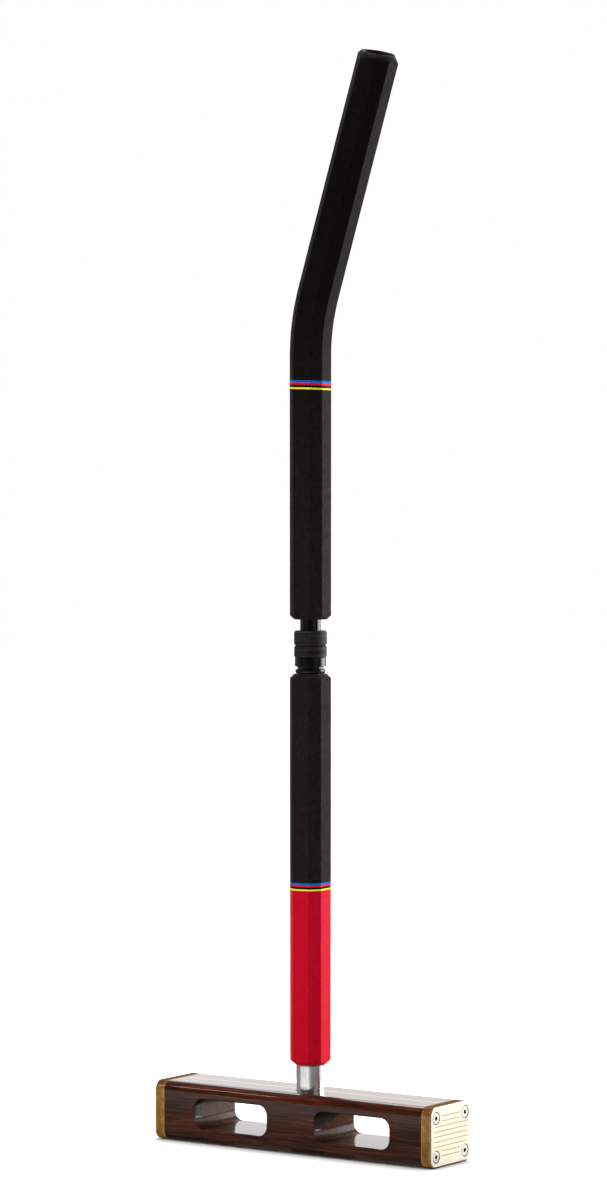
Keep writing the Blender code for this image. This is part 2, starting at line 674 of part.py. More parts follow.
handle_end = bend_length + last_run
tube_start = UP_GRIP_BOTTOM - BEND_START_Z
tube_end = handle_end - CAP_RECESS - CAP_HEAD_H - GAP
tube_stops = bent_run(tube_start, tube_end)
upper_tube = swept("upper_tube", circle(TUBE_R, 24), [on_axis(s) for s in tube_stops],
                   [1.0] * len(tube_stops))
ride_on(finish(upper_tube, aluminium("tube_aluminium_upper")), handle_axis)
inner_stops = bent_run(tube_start - 5.0 * MM, tube_end + 5.0 * MM)
tube_bore = swept("upper_tube_bore_cut", circle(bore_r, 24),
                  [on_axis(s) for s in inner_stops], [1.0] * len(inner_stops), cutters)
ride_on(tube_bore, handle_axis)
cut(upper_tube, tube_bore, cross_high)

bent_start = UP_STRIPE_Z + 4.0 * UP_STRIPE_PITCH + STRIPE_GAP / 2.0 - BEND_START_Z
bent_stops = bent_run(bent_start, handle_end)
bent_grip = swept("upper_grip_bent", octagon(UP_HALF), [on_axis(s) for s in bent_stops],
                  [1.0] * len(bent_stops))
end_point = on_axis(handle_end)
end_way = Vector((math.sin(BEND_ANGLE), 0.0, math.cos(BEND_ANGLE)))
end_side = Vector((math.cos(BEND_ANGLE), 0.0, -math.sin(BEND_ANGLE)))
for vertex in bent_grip.data.vertices:
    offset = vertex.co - end_point
    if offset.dot(end_way) > -3.6 * MM:
        vertex.co += end_way * (END_SKEW_ALONG * offset.dot(end_side)
                                + END_SKEW_ACROSS * offset.y)
ride_on(finish(bent_grip, black_foam("foam_black_upper")), handle_axis)
sleeve_stops = bent_run(bent_start - 5.0 * MM, handle_end + 5.0 * MM)
sleeve_bore = swept("upper_grip_bore_cut", circle(grip_bore, 24),
                    [on_axis(s) for s in sleeve_stops], [1.0] * len(sleeve_stops), cutters)
ride_on(sleeve_bore, handle_axis)
end_cone = grinding_cone("upper_grip_bent_cone_cut", 0.0, HANDLE_END, 1.0)
end_cone.parent = handle_axis
end_cone.location = end_point - Vector((0.0, 0.0, STUB_TOP_Z))
end_cone.rotation_euler = (0.0, BEND_ANGLE, 0.0)
cut(bent_grip, sleeve_bore, end_cone)

cap = turned("end_cap", [
    (0.0, 0.0), (CAP_HEAD_R - 0.8 * MM, -0.1 * MM), (CAP_HEAD_R, -0.8 * MM),
    (CAP_HEAD_R, -CAP_HEAD_H), (bore_r - GAP, -CAP_HEAD_H),
    (bore_r - GAP, -14.0 * MM), (bore_r - 1.0 * MM, -15.0 * MM), (0.0, -15.0 * MM)])
finish(cap, plastic("cap_plastic"))
cap.parent = handle_axis
cap_spot = on_axis(handle_end - CAP_RECESS)
cap.location = cap_spot - Vector((0.0, 0.0, STUB_TOP_Z))
cap.rotation_euler = (0.0, BEND_ANGLE, 0.0)

bpy.context.view_layer.update()
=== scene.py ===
import math

import bpy
import bmesh
from mathutils import Matrix, Vector, noise


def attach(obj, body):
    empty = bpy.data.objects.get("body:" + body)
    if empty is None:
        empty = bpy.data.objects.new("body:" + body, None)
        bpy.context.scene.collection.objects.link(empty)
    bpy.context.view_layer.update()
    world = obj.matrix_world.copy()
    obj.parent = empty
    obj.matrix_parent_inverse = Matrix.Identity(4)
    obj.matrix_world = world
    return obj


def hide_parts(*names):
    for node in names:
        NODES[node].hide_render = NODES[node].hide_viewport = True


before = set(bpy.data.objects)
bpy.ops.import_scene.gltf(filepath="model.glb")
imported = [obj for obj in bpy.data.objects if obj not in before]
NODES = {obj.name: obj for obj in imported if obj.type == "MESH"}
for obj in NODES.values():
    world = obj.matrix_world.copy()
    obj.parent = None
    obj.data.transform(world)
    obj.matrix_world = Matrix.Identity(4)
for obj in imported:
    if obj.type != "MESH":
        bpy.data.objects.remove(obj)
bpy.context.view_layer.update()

MM = 0.001
scene = bpy.context.scene

HEAD = "head_and_lower_shaft"
HANDLE = "handle"
NUT = "nut"

# ------------------------------------------------------------------- camera
CAM_AZ = math.radians(34.344)
CAM_DIST = 3.5664
CAM_Z = 0.5898
CAM_PITCH = math.radians(-2.093)
CAM_YAW = CAM_AZ + math.radians(0.093)
FOCAL_PX = 4287.5

cam_data = bpy.data.cameras.new("camera")
cam_data.sensor_width = 36.0
cam_data.lens = FOCAL_PX / 1200.0 * 36.0
cam_data.clip_end = 50.0
cam = bpy.data.objects.new("camera", cam_data)
scene.collection.objects.link(cam)
cam.location = (CAM_DIST * math.sin(CAM_AZ), -CAM_DIST * math.cos(CAM_AZ), CAM_Z)
forward = Vector((-math.sin(CAM_YAW) * math.cos(CAM_PITCH),
                  math.cos(CAM_YAW) * math.cos(CAM_PITCH), math.sin(CAM_PITCH)))
cam.rotation_euler = forward.to_track_quat("-Z", "Y").to_euler()
scene.camera = cam
scene.view_settings.view_transform = "Standard"


# ---------------------------------------------------------------- node helper
class Shader:
    """A short way to lay out a material's nodes."""

    def __init__(self, name):
        self.mat = bpy.data.materials.new(name)
        self.mat.use_nodes = True
        self.tree = self.mat.node_tree
        self.bsdf = self.tree.nodes["Principled BSDF"]
        self.coords = self.tree.nodes.new("ShaderNodeTexCoord").outputs["Object"]

    def plug(self, value, socket):
        if isinstance(value, bpy.types.NodeSocket):
            self.tree.links.new(value, socket)
        else:
            socket.default_value = value

    def place(self, scale, turn=(0.0, 0.0, 0.0), move=(0.0, 0.0, 0.0), source=None):
        node = self.tree.nodes.new("ShaderNodeMapping")
        self.plug(source or self.coords, node.inputs["Vector"])
        node.inputs["Scale"].default_value = scale
        node.inputs["Rotation"].default_value = turn
        node.inputs["Location"].default_value = move
        return node.outputs["Vector"]

    def noise(self, vector, scale=1.0, detail=2.0, roughness=0.5, distortion=0.0):
        node = self.tree.nodes.new("ShaderNodeTexNoise")
        self.plug(vector, node.inputs["Vector"])
        node.inputs["Scale"].default_value = scale
        node.inputs["Detail"].default_value = detail
        node.inputs["Roughness"].default_value = roughness
        node.inputs["Distortion"].default_value = distortion
        return node.outputs["Fac"]

    def cells(self, vector, scale=1.0, feature="F1"):
        node = self.tree.nodes.new("ShaderNodeTexVoronoi")
        node.feature = feature
        self.plug(vector, node.inputs["Vector"])
        node.inputs["Scale"].default_value = scale
        return node.outputs["Distance"]

    def math(self, operation, a, b=0.0, clamp=False):
        node = self.tree.nodes.new("ShaderNodeMath")
        node.operation = operation
        node.use_clamp = clamp
        self.plug(a, node.inputs[0])
        self.plug(b, node.inputs[1])
        return node.outputs[0]

    def remap(self, value, low, high, to_low=0.0, to_high=1.0, smooth=False):
        node = self.tree.nodes.new("ShaderNodeMapRange")
        node.interpolation_type = "SMOOTHSTEP" if smooth else "LINEAR"
        self.plug(value, node.inputs["Value"])
        for name, number in (("From Min", low), ("From Max", high),
                             ("To Min", to_low), ("To Max", to_high)):
            node.inputs[name].default_value = number
        return node.outputs["Result"]

    def ramp(self, value, stops):
        node = self.tree.nodes.new("ShaderNodeValToRGB")
        self.plug(value, node.inputs["Fac"])
        band = node.color_ramp
        while len(band.elements) < len(stops):
            band.elements.new(0.5)
        for element, (spot, colour) in zip(band.elements, stops):
            element.position = spot
            element.color = (*colour, 1.0)
        return node.outputs["Color"]

    def mix(self, share, a, b, blend="MIX"):
        node = self.tree.nodes.new("ShaderNodeMix")
        node.data_type = "RGBA"
        node.blend_type = blend
        self.plug(share, node.inputs[0])
        self.plug(a if isinstance(a, bpy.types.NodeSocket) else (*a, 1.0), node.inputs[6])
        self.plug(b if isinstance(b, bpy.types.NodeSocket) else (*b, 1.0), node.inputs[7])
        return node.outputs[2]

    def split(self, source=None):
        node = self.tree.nodes.new("ShaderNodeSeparateXYZ")
        self.plug(source or self.coords, node.inputs[0])
        return node.outputs

    def bump(self, height, strength, distance, before=None):
        node = self.tree.nodes.new("ShaderNodeBump")
        node.inputs["Strength"].default_value = strength
        node.inputs["Distance"].default_value = distance
        self.plug(height, node.inputs["Height"])
        if before is not None:
            self.plug(before, node.inputs["Normal"])
        return node.outputs["Normal"]

    def set(self, **values):
        for name, value in values.items():
            self.plug(value, self.bsdf.inputs[name.replace("_", " ")])
        return self.mat


# ------------------------------------------------------------------ materials
def skin_tone(s):
    return s.noise(s.place((420.0, 420.0, 420.0)), 1.0, 2.0, 0.5)


def rosewood():
    """Dark rosewood, its grain along the head, under clear gloss lacquer."""
    s = Shader("rosewood")
    wander = s.noise(s.place((9.0, 60.0, 60.0)), 1.0, 2.0, 0.5)
    bent = s.tree.nodes.new("ShaderNodeVectorMath")
    bent.operation = "ADD"
    push = s.tree.nodes.new("ShaderNodeCombineXYZ")
    s.plug(s.math("MULTIPLY", wander, 0.004), push.inputs["Y"])
    s.plug(s.math("MULTIPLY", wander, 0.006), push.inputs["Z"])
    s.plug(s.coords, bent.inputs[0])
    s.plug(push.outputs[0], bent.inputs[1])
    along = bent.outputs[0]
    broad = s.noise(s.place((7.0, 130.0, 260.0), source=along), 1.0, 3.0, 0.55)
    fine = s.noise(s.place((24.0, 1000.0, 1300.0), source=along), 1.0, 4.0, 0.62)
    hair = s.noise(s.place((45.0, 2100.0, 2600.0), source=along), 1.0, 3.0, 0.6)
    medium = s.noise(s.place((13.0, 400.0, 480.0), source=along), 1.0, 3.0, 0.6)
    body = s.mix(1.0, s.ramp(broad, [(0.30, (0.050, 0.0105, 0.0030)), (0.46, (0.066, 0.0145, 0.0042)),
                                     (0.58, (0.080, 0.0188, 0.0060)), (0.74, (0.098, 0.0240, 0.0082))]),
                 s.ramp(medium, [(0.36, (0.52, 0.48, 0.46)), (0.50, (1.00, 1.00, 1.00)),
                                 (0.64, (1.42, 1.46, 1.48))]), "MULTIPLY")
    streaks = s.ramp(fine, [(0.34, (0.12, 0.08, 0.07)), (0.46, (0.72, 0.66, 0.62)),
                            (0.57, (1.42, 1.40, 1.36)), (0.70, (2.60, 2.75, 2.80))])
    toned = s.mix(0.95, body, streaks, "MULTIPLY")
    # painted light: from the upper rounding up, the wood is tinted warmer, standing in for the warm glow the
    # light gives there
    shoulder = s.remap(s.split()["Z"], 0.0405, 0.0440, 0.0, 1.0, smooth=True)
    toned = s.mix(shoulder, toned, (1.18, 0.92, 0.55), "MULTIPLY")
    pores = s.remap(hair, 0.60, 0.70, 0.0, 0.75, smooth=True)
    colour = s.mix(pores, toned, (0.014, 0.0050, 0.0030))
    lines = s.bump(fine, 0.10, 0.00004)
    # the lacquer carries a faint, slow unevenness
    skin = s.noise(s.place((55.0, 120.0, 120.0)), 1.0, 2.0, 0.5)
    coat_normal = s.bump(skin, 0.10, 0.00035)
    # painted shade: in the windows' inner corners and along the foot the colour is darkened and the lacquer's
    # gloss is taken off
    axes = s.split()
    x, y, z = axes["X"], axes["Y"], axes["Z"]
    inside = s.remap(s.math("ABSOLUTE", y), 0.0297, 0.0291)
    left = s.math("LESS_THAN", x, 0.0)
    along_window = s.math("ADD", s.math("SUBTRACT", x, 0.0240), s.math("MULTIPLY", left, 0.1222))
    depth = s.math("ADD", y, 0.030)
    reached = s.math("ADD", along_window, s.math("MULTIPLY", depth, 0.683))
    floor_part = s.math("MULTIPLY", s.remap(z, 0.0146, 0.0136), s.remap(reached, 0.0425, 0.0400))
    corner_part = s.math("MULTIPLY", s.math("MULTIPLY", s.remap(along_window, 0.0100, 0.0080),
                                            s.remap(z, 0.0211, 0.0203)),
                         s.remap(depth, 0.062, 0.030, 0.70, 1.0))
    slant = s.math("MULTIPLY", depth, 0.24)
    edge_right = s.math("SUBTRACT", z, s.math("ADD", slant, 0.0215))
    edge_left = s.math("SUBTRACT", z, s.math("ADD", slant, 0.0318))
    on_wall = s.math("MULTIPLY", s.remap(along_window, 0.0100, 0.0085), s.remap(z, 0.0390, 0.0384))
    mouth = s.math("MULTIPLY", on_wall, s.remap(depth, 0.0042, 0.0012))
    high_right = s.math("MULTIPLY", s.math("MULTIPLY", s.remap(edge_right, -0.0003, 0.0008),
                                           s.remap(depth, 0.0368, 0.0345)),
                        s.math("SUBTRACT", 1.0, left))
    high_left = s.math("MULTIPLY", s.remap(edge_left, -0.0003, 0.0012), left)
    high_part = s.math("MAXIMUM", s.math("MULTIPLY", mouth, 0.8),
                       s.math("MULTIPLY", on_wall, s.math("ADD", high_right, high_left)))
    gloss_cut_for_shade = s.math("MULTIPLY", inside,
                  s.math("MAXIMUM", s.math("MULTIPLY", floor_part, 0.92),
                         s.math("MAXIMUM", s.math("MULTIPLY", corner_part, 0.92),
                                s.math("MULTIPLY", high_part, 0.99))))
    # painted shade along the foot, where the head meets the floor
    foot = s.remap(z, 0.0017, 0.0009)
    gloss_cut_for_shade = s.math("MAXIMUM", gloss_cut_for_shade, s.math("MULTIPLY", foot, 0.97), True)
    dark = s.math("MAXIMUM", s.math("MULTIPLY", inside, s.math("MAXIMUM", s.math("MULTIPLY", high_part, 0.85),
                                                               s.math("MULTIPLY", corner_part, 0.55))),
                  s.math("MULTIPLY", foot, 0.93), True)
    # painted shade: the colour goes nearly black in these places
    colour = s.mix(dark, colour, (0.0012, 0.0006, 0.0004))
    # painted highlight: a thin glowing rim round the front windows' far ends, standing in for light caught on
    # the lacquer there
    y_size = s.math("MULTIPLY", y, -1.0)
    painted_rim_highlight = s.math("MULTIPLY", s.remap(y_size, 0.0292, 0.0294), s.remap(y_size, 0.03008, 0.0299))
    painted_rim_highlight = s.math("MULTIPLY", painted_rim_highlight, s.math("MULTIPLY", s.remap(along_window, 0.058, 0.066),
                                           s.remap(along_window, 0.0760, 0.0752)))
    painted_rim_highlight = s.math("MULTIPLY", painted_rim_highlight, s.math("MULTIPLY", s.remap(z, 0.0112, 0.0118),
                                           s.remap(z, 0.0345, 0.0315)))
    # the painted highlight is given as emission
    s.set(Emission_Color=s.ramp(skin_tone(s), [(0.35, (0.80, 0.77, 0.76)), (0.65, (1.0, 0.97, 0.96))]),
          Emission_Strength=s.math("MULTIPLY", painted_rim_highlight, 0.45))
    s.set(Base_Color=colour, Normal=lines, Metallic=0.0, IOR=1.45)
    s.set(Roughness=s.remap(fine, 0.3, 0.7, 0.56, 0.44))
    # the lacquer's gloss is taken off where shade is painted
    gloss = s.math("SUBTRACT", 1.0, gloss_cut_for_shade, True)
    s.set(Specular_IOR_Level=0.08, Coat_Weight=gloss, Coat_Roughness=0.035, Coat_IOR=1.38)
    s.set(Coat_Normal=coat_normal)
    return s.mat


def inlay():
    s = Shader("pale_inlay")
    grain = s.noise(s.place((40.0, 1500.0, 1500.0)), 1.0, 3.0, 0.6)
    s.set(Base_Color=s.ramp(grain, [(0.3, (0.62, 0.55, 0.44)), (0.7, (0.84, 0.79, 0.69))]),
          Roughness=s.remap(grain, 0.3, 0.7, 0.40, 0.30),
          Normal=s.bump(grain, 0.1, 0.00003))
    s.set(Coat_Weight=1.0, Coat_Roughness=0.04, Coat_IOR=1.38)
    return s.mat


def brass(name, ends):
    """Satin brass.  On the plates the striking faces are milled and given a paler colour, painted light for the
    bright light on them; the rims are toned, with painted highlights and shade.
    """
    s = Shader(name)
    axes = s.split()
    lines = s.noise(s.place((2600.0, 160.0, 160.0)), 1.0, 3.0, 0.6)
    mottle = s.noise(s.place((150.0, 150.0, 150.0)), 1.0, 4.0, 0.6)
    rim = s.ramp(s.math("ADD", s.math("MULTIPLY", lines, 0.55),
                        s.math("MULTIPLY", mottle, 0.45)),
                 [(0.36, (0.44, 0.23, 0.055)), (0.50, (0.67, 0.385, 0.115)),
                  (0.64, (0.92, 0.59, 0.225))])
    if ends:
        reach = s.math("ABSOLUTE", axes["X"])
        # painted shade: the top strip of each plate is darkened
        painted_top_shade = s.remap(axes["Z"], 0.0462, 0.0490, 0.0, 1.0, smooth=True)
        rim = s.mix(s.math("MULTIPLY", painted_top_shade, 0.90), rim, (0.095, 0.070, 0.050))
        # painted highlights: the rims are paler along both edges, where the light catches them, and browner
        # between them
        tone = s.ramp(s.remap(reach, 0.1290, 0.1390),
                      [(0.00, (1.45, 1.36, 1.10)), (0.12, (1.30, 1.20, 0.95)), (0.24, (1.06, 0.96, 0.90)),
                       (0.62, (0.93, 0.80, 0.72)), (0.80, (1.12, 1.00, 0.88)), (0.94, (1.30, 1.18, 0.95))])
        rim = s.mix(1.0, rim, tone, "MULTIPLY")
        # painted light: the striking faces get a paler, less yellow colour than the rims, standing in for the
        # bright light on them
        face = s.remap(reach, 0.13830, 0.13880, 0.0, 1.0, smooth=True)
        milled = s.noise(s.place((100.0, 90.0, 1800.0)), 1.0, 3.0, 0.6)
        pale = s.ramp(milled, [(0.32, (0.675, 0.600, 0.510)), (0.68, (0.755, 0.680, 0.592))])
        colour = s.mix(face, rim, pale)
        # painted shade: the cut grooves are coloured tan
        flat = s.math("MULTIPLY", s.remap(s.math("ABSOLUTE", axes["Y"]), 0.0280, 0.0275),
                      s.remap(s.math("ABSOLUTE", s.math("SUBTRACT", axes["Z"], 0.025)), 0.0232, 0.0228))
        cut = s.math("MULTIPLY", flat, s.remap(reach, 0.13897, 0.13884))
        colour = s.mix(s.math("MULTIPLY", cut, 0.56), colour, (0.44, 0.26, 0.085))
        # painted shade in the narrow gap round each screw head
        off_y = s.math("SUBTRACT", s.math("ABSOLUTE", axes["Y"]), 0.0218)
        off_z = s.math("SUBTRACT", s.math("ABSOLUTE", s.math("SUBTRACT", axes["Z"], 0.025)), 0.0158)
        off = s.math("SQRT", s.math("ADD", s.math("MULTIPLY", off_y, off_y),
                                    s.math("MULTIPLY", off_z, off_z)))
        painted_gap_shade = s.math("MULTIPLY", s.remap(off, 0.0057, 0.0055), s.remap(reach, 0.13894, 0.13876))
        colour = s.mix(painted_gap_shade, colour, (0.030, 0.018, 0.008))
        # painted shade along the foot, where the plate meets the floor
        colour = s.mix(s.remap(axes["Z"], 0.0016, 0.0009), colour, (0.012, 0.006, 0.002))
        rough = s.math("ADD", s.math("MULTIPLY", face, 0.10),
                       s.remap(mottle, 0.3, 0.7, 0.50, 0.42))
    else:
        colour = rim
        rough = s.remap(mottle, 0.3, 0.7, 0.40, 0.30)
    s.set(Base_Color=colour, Roughness=rough, Metallic=1.0,
          Normal=s.bump(lines, 0.16, 0.00003))
    s.set(Specular_Tint=(0.42, 0.36, 0.30, 1.0))
    return s.mat


def steel(name):
    s = Shader(name)
    fine = s.noise(s.place((2200.0, 2200.0, 2200.0)), 1.0, 3.0, 0.6)
    slow = s.noise(s.place((260.0, 260.0, 260.0)), 1.0, 2.0, 0.5)
    s.set(Base_Color=s.ramp(slow, [(0.3, (0.62, 0.59, 0.52)), (0.7, (0.76, 0.725, 0.645))]),
          Metallic=1.0, Roughness=s.remap(fine, 0.3, 0.7, 0.38, 0.28),
          Normal=s.bump(fine, 0.08, 0.00002))
    return s.mat


def screw_steel():
    """Zinc-bright screw heads, with painted shade down inside the sockets."""
    mat = steel("screw_steel")
    s = Shader.__new__(Shader)
    s.mat, s.tree = mat, mat.node_tree
    s.bsdf = s.tree.nodes["Principled BSDF"]
    s.coords = s.tree.nodes.new("ShaderNodeTexCoord").outputs["Object"]
    reach = s.math("ABSOLUTE", s.split()["X"])
    # painted shade: below the face the colour goes dark and rougher
    inside = s.remap(reach, 0.13878, 0.13850, 0.0, 0.99, smooth=True)
    colour = s.bsdf.inputs["Base Color"].links[0].from_socket
    rough = s.bsdf.inputs["Roughness"].links[0].from_socket
    return s.set(Base_Color=s.mix(inside, colour, (0.004, 0.0035, 0.003)),
                 Roughness=s.math("ADD", rough, s.math("MULTIPLY", inside, 0.25)))


def aluminium(name):
    """Drawn aluminium tube, softly polished, with faint turning rings and handling marks."""
    s = Shader(name)
    rings = s.noise(s.place((60.0, 60.0, 5200.0)), 1.0, 3.0, 0.6)
    drawn = s.noise(s.place((900.0, 900.0, 22.0)), 1.0, 3.0, 0.6)
    smear = s.noise(s.place((170.0, 170.0, 120.0)), 1.0, 4.0, 0.6, 0.6)
    tone = s.math("ADD", s.math("MULTIPLY", drawn, 0.5), s.math("MULTIPLY", smear, 0.5))
    s.set(Base_Color=s.ramp(tone, [(0.34, (0.62, 0.61, 0.60)), (0.66, (0.84, 0.84, 0.85))]),
          Metallic=1.0, Roughness=s.remap(smear, 0.3, 0.7, 0.24, 0.12),
          Normal=s.bump(rings, 0.07, 0.00002, s.bump(drawn, 0.10, 0.00003)))
    return s.mat


def anodised(name, rough_low, rough_high, tone=1.0, level=0.5):
    """Black anodised aluminium with fine turning lines."""
    s = Shader(name)
    rings = s.noise(s.place((80.0, 80.0, 4200.0)), 1.0, 2.0, 0.6)
    dust = s.noise(s.place((900.0, 900.0, 900.0)), 1.0, 4.0, 0.65)
    bands = s.noise(s.place((30.0, 30.0, 1100.0)), 1.0, 2.0, 0.5)
    body = s.ramp(dust, [(0.35, tuple(tone * v for v in (0.0036, 0.0033, 0.0033))),
                         (0.65, tuple(tone * v for v in (0.0090, 0.0080, 0.0076)))])
    turned = s.ramp(bands, [(0.35, (0.45, 0.45, 0.45)), (0.65, (1.65, 1.65, 1.65))])
    s.set(Base_Color=s.mix(1.0, body, turned, "MULTIPLY"),
          Metallic=0.0, IOR=1.5, Specular_IOR_Level=level,
          Roughness=s.remap(dust, 0.3, 0.7, rough_low, rough_high),
          Normal=s.bump(rings, 0.10, 0.00002))
    return s.mat


def foam(name, dark, mid, light, sheen, gloss, tint=(1.0, 0.95, 0.93), painted_shading_by_height=False, lift=0.0):
    """Closed-cell foam, ground to shape: fine open pores and a slightly mottled tone."""
    s = Shader(name)
    pores = s.cells(s.place((2300.0, 2300.0, 2300.0)), 1.0)
    grit = s.noise(s.place((3400.0, 3400.0, 3400.0)), 1.0, 3.0, 0.65)
    cloud = s.noise(s.place((260.0, 260.0, 190.0)), 1.0, 5.0, 0.62)
    drift = s.noise(s.place((26.0, 26.0, 14.0)), 1.0, 3.0, 0.55)
    tone = s.math("ADD", s.math("MULTIPLY", cloud, 0.55),
                  s.math("ADD", s.math("MULTIPLY", grit, 0.20),
                         s.math("MULTIPLY", drift, 0.25)))
    height = s.math("ADD", s.math("MULTIPLY", pores, 0.7), s.math("MULTIPLY", grit, 0.5))
    colour = s.ramp(tone, [(0.36, dark), (0.50, mid), (0.64, light)])
    if painted_shading_by_height:
        # painted shade: the black foam darkens upwards, where less light reaches it
        colour = s.mix(s.remap(s.split()["Z"], 0.44, 0.80, 0.0, 0.68, smooth=True), colour,
                       (0.0008, 0.0007, 0.0008))
        # painted light: the end at the top is painted lighter, standing in for light falling on it
        colour = s.mix(s.remap(s.split()["Z"], 0.9035, 0.9065, 0.0, 0.65, smooth=True), colour,
                       (0.034, 0.030, 0.030))
    s.set(Base_Color=colour,
          Roughness=s.remap(cloud, 0.3, 0.7, gloss + 0.08, gloss - 0.04),
          Normal=s.bump(height, 0.45, 0.00010))
    s.set(IOR=1.45, Specular_IOR_Level=0.10, Sheen_Weight=sheen, Sheen_Roughness=0.50,
          Sheen_Tint=(*tint, 1.0))
    if lift:
        # painted glow: the bright rings give off their own colour as light, which no lamp gives
        s.set(Emission_Color=colour, Emission_Strength=lift)
    return s.mat


def plastic(name, dark, light, rough):
    s = Shader(name)
    grain = s.noise(s.place((1900.0, 1900.0, 1900.0)), 1.0, 3.0, 0.6)
    slow = s.noise(s.place((180.0, 180.0, 180.0)), 1.0, 3.0, 0.5)
    s.set(Base_Color=s.ramp(slow, [(0.35, dark), (0.65, light)]),
          Roughness=s.remap(grain, 0.3, 0.7, rough + 0.06, rough - 0.06),
          Normal=s.bump(grain, 0.20, 0.00004))
    return s.mat


WOOD = rosewood()
INLAY = inlay()
PLATE = brass("brass_plate", True)
INSERT = brass("insert_brass", False)
STEEL = steel("steel")
SCREW = screw_steel()
TUBE = aluminium("tube_aluminium")
BLACK_SATIN = anodised("anodised_knurled", 0.52, 0.42, 4.4, 0.10)
BLACK_SMOOTH = anodised("anodised_smooth", 0.24, 0.16, 0.5, 0.42)
BLACK_GLOSS = anodised("anodised_gloss", 0.16, 0.10, 0.5, 0.42)
BLACK_FOAM = foam("foam_black", (0.0115, 0.0088, 0.0068), (0.0175, 0.0136, 0.0106),
                  (0.0255, 0.0200, 0.0160), 0.012, 0.76, painted_shading_by_height=True)
RED_FOAM = foam("foam_red", (0.76, 0.0004, 0.018), (0.84, 0.0006, 0.025),
                (0.92, 0.0012, 0.034), 0.24, 0.76, (1.0, 0.42, 0.46))
STRIPE = {
    "yellow": foam("foam_yellow", (0.92, 0.78, 0.015), (1.0, 0.88, 0.030),
                   (1.0, 0.95, 0.060), 0.03, 0.72, lift=0.26),
    "black": foam("foam_ring_black", (0.0016, 0.0013, 0.0011), (0.0030, 0.0024, 0.0020),
                  (0.0050, 0.0040, 0.0034), 0.0, 0.72),
    "red": foam("foam_ring_red", (0.78, 0.008, 0.030), (0.88, 0.013, 0.045),
                (0.96, 0.022, 0.064), 0.03, 0.72, lift=0.06),
    "blue": foam("foam_blue", (0.000, 0.130, 0.62), (0.000, 0.165, 0.74),
                 (0.002, 0.215, 0.86), 0.0, 0.72, lift=0.05),
}
CAP = plastic("cap_plastic", (0.010, 0.0095, 0.009), (0.020, 0.019, 0.018), 0.50)
NYLON = plastic("nylon", (0.014, 0.014, 0.014), (0.024, 0.024, 0.024), 0.42)


# --------------------------------------------------------------- mesh helpers
def soften(points, radii, steps=4):
    """Round the corners of an open 2D line; one radius for each inner corner."""
    out = [Vector(points[0])]
    for i in range(1, len(points) - 1):
        a, b, c = Vector(points[i - 1]), Vector(points[i]), Vector(points[i + 1])
        radius = radii[i - 1] if isinstance(radii, (list, tuple)) else radii
        u, w = (a - b), (c - b)
        room = 0.49 * min(u.length, w.length)
        u.normalize()
        w.normalize()
        half = u.angle(w) / 2.0
        if radius <= 0.0 or half > math.radians(88.0):
            out.append(b)
            continue
        reach = min(radius / math.tan(half), room)
        radius = reach * math.tan(half)
        centre = b + (u + w).normalized() * (radius / math.sin(half))
        va, vb = b + u * reach - centre, b + w * reach - centre
        sweep = va.angle_signed(vb)
        for j in range(steps + 1):
            angle = -sweep * j / steps
            ca, sa = math.cos(angle), math.sin(angle)
            out.append(centre + Vector((va.x * ca - va.y * sa, va.x * sa + va.y * ca)))
    out.append(Vector(points[-1]))
    return out


def rounded_outline(corners, radius, steps, spans):
    """A convex outline, anticlockwise, with rounded corners and split straight runs."""
    arcs = []
    count = len(corners)
    for i in range(count):
        a, b, c = (Vector(corners[i - 1]), Vector(corners[i]),
                   Vector(corners[(i + 1) % count]))
        u, w = (a - b).normalized(), (c - b).normalized()
        half = u.angle(w) / 2.0
        centre = b + (u + w).normalized() * (radius / math.sin(half))
        reach = radius / math.tan(half)
        va, vb = b + u * reach - centre, b + w * reach - centre
        turn = math.pi - 2.0 * half
        start = math.atan2(va.y, va.x)
        arcs.append([centre + radius * Vector((math.cos(start + turn * j / steps),
                                               math.sin(start + turn * j / steps)))
                     for j in range(steps + 1)])
    out = []
    for i, arc in enumerate(arcs):
        out += arc
        after = arcs[(i + 1) % count][0]
        out += [arc[-1].lerp(after, j / spans) for j in range(1, spans)]
    return out


def skin(rings, loop=True, join=False, caps=False):
    """Faces between rings of equal length; join closes the last ring to the first."""
    size = len(rings[0])
    verts = [p for ring in rings for p in ring]
    faces = []
    turns = len(rings) if join else len(rings) - 1
    for i in range(turns):
        a, b = i * size, ((i + 1) % len(rings)) * size
        for j in range(size if loop else size - 1):
            k = (j + 1) % size
            faces.append((a + j, a + k, b + k, b + j))
    if caps:
        faces.append(tuple(reversed(range(size))))
        faces.append(tuple(range((len(rings) - 1) * size, len(rings) * size)))
    return verts, faces


def raw(name, verts, faces):
    """An object from faces, with coincident points joined and normals outwards."""
    mesh = bpy.data.meshes.new(name)
    mesh.from_pydata([tuple(v) for v in verts], [], faces)
    bm = bmesh.new()
    bm.from_mesh(mesh)
    bmesh.ops.remove_doubles(bm, verts=bm.verts, dist=1e-7)
    bmesh.ops.dissolve_degenerate(bm, edges=bm.edges, dist=1e-8)
    bmesh.ops.recalc_face_normals(bm, faces=bm.faces)
    bm.to_mesh(mesh)
    bm.free()
    ob = bpy.data.objects.new(name, mesh)
    scene.collection.objects.link(ob)
    return ob


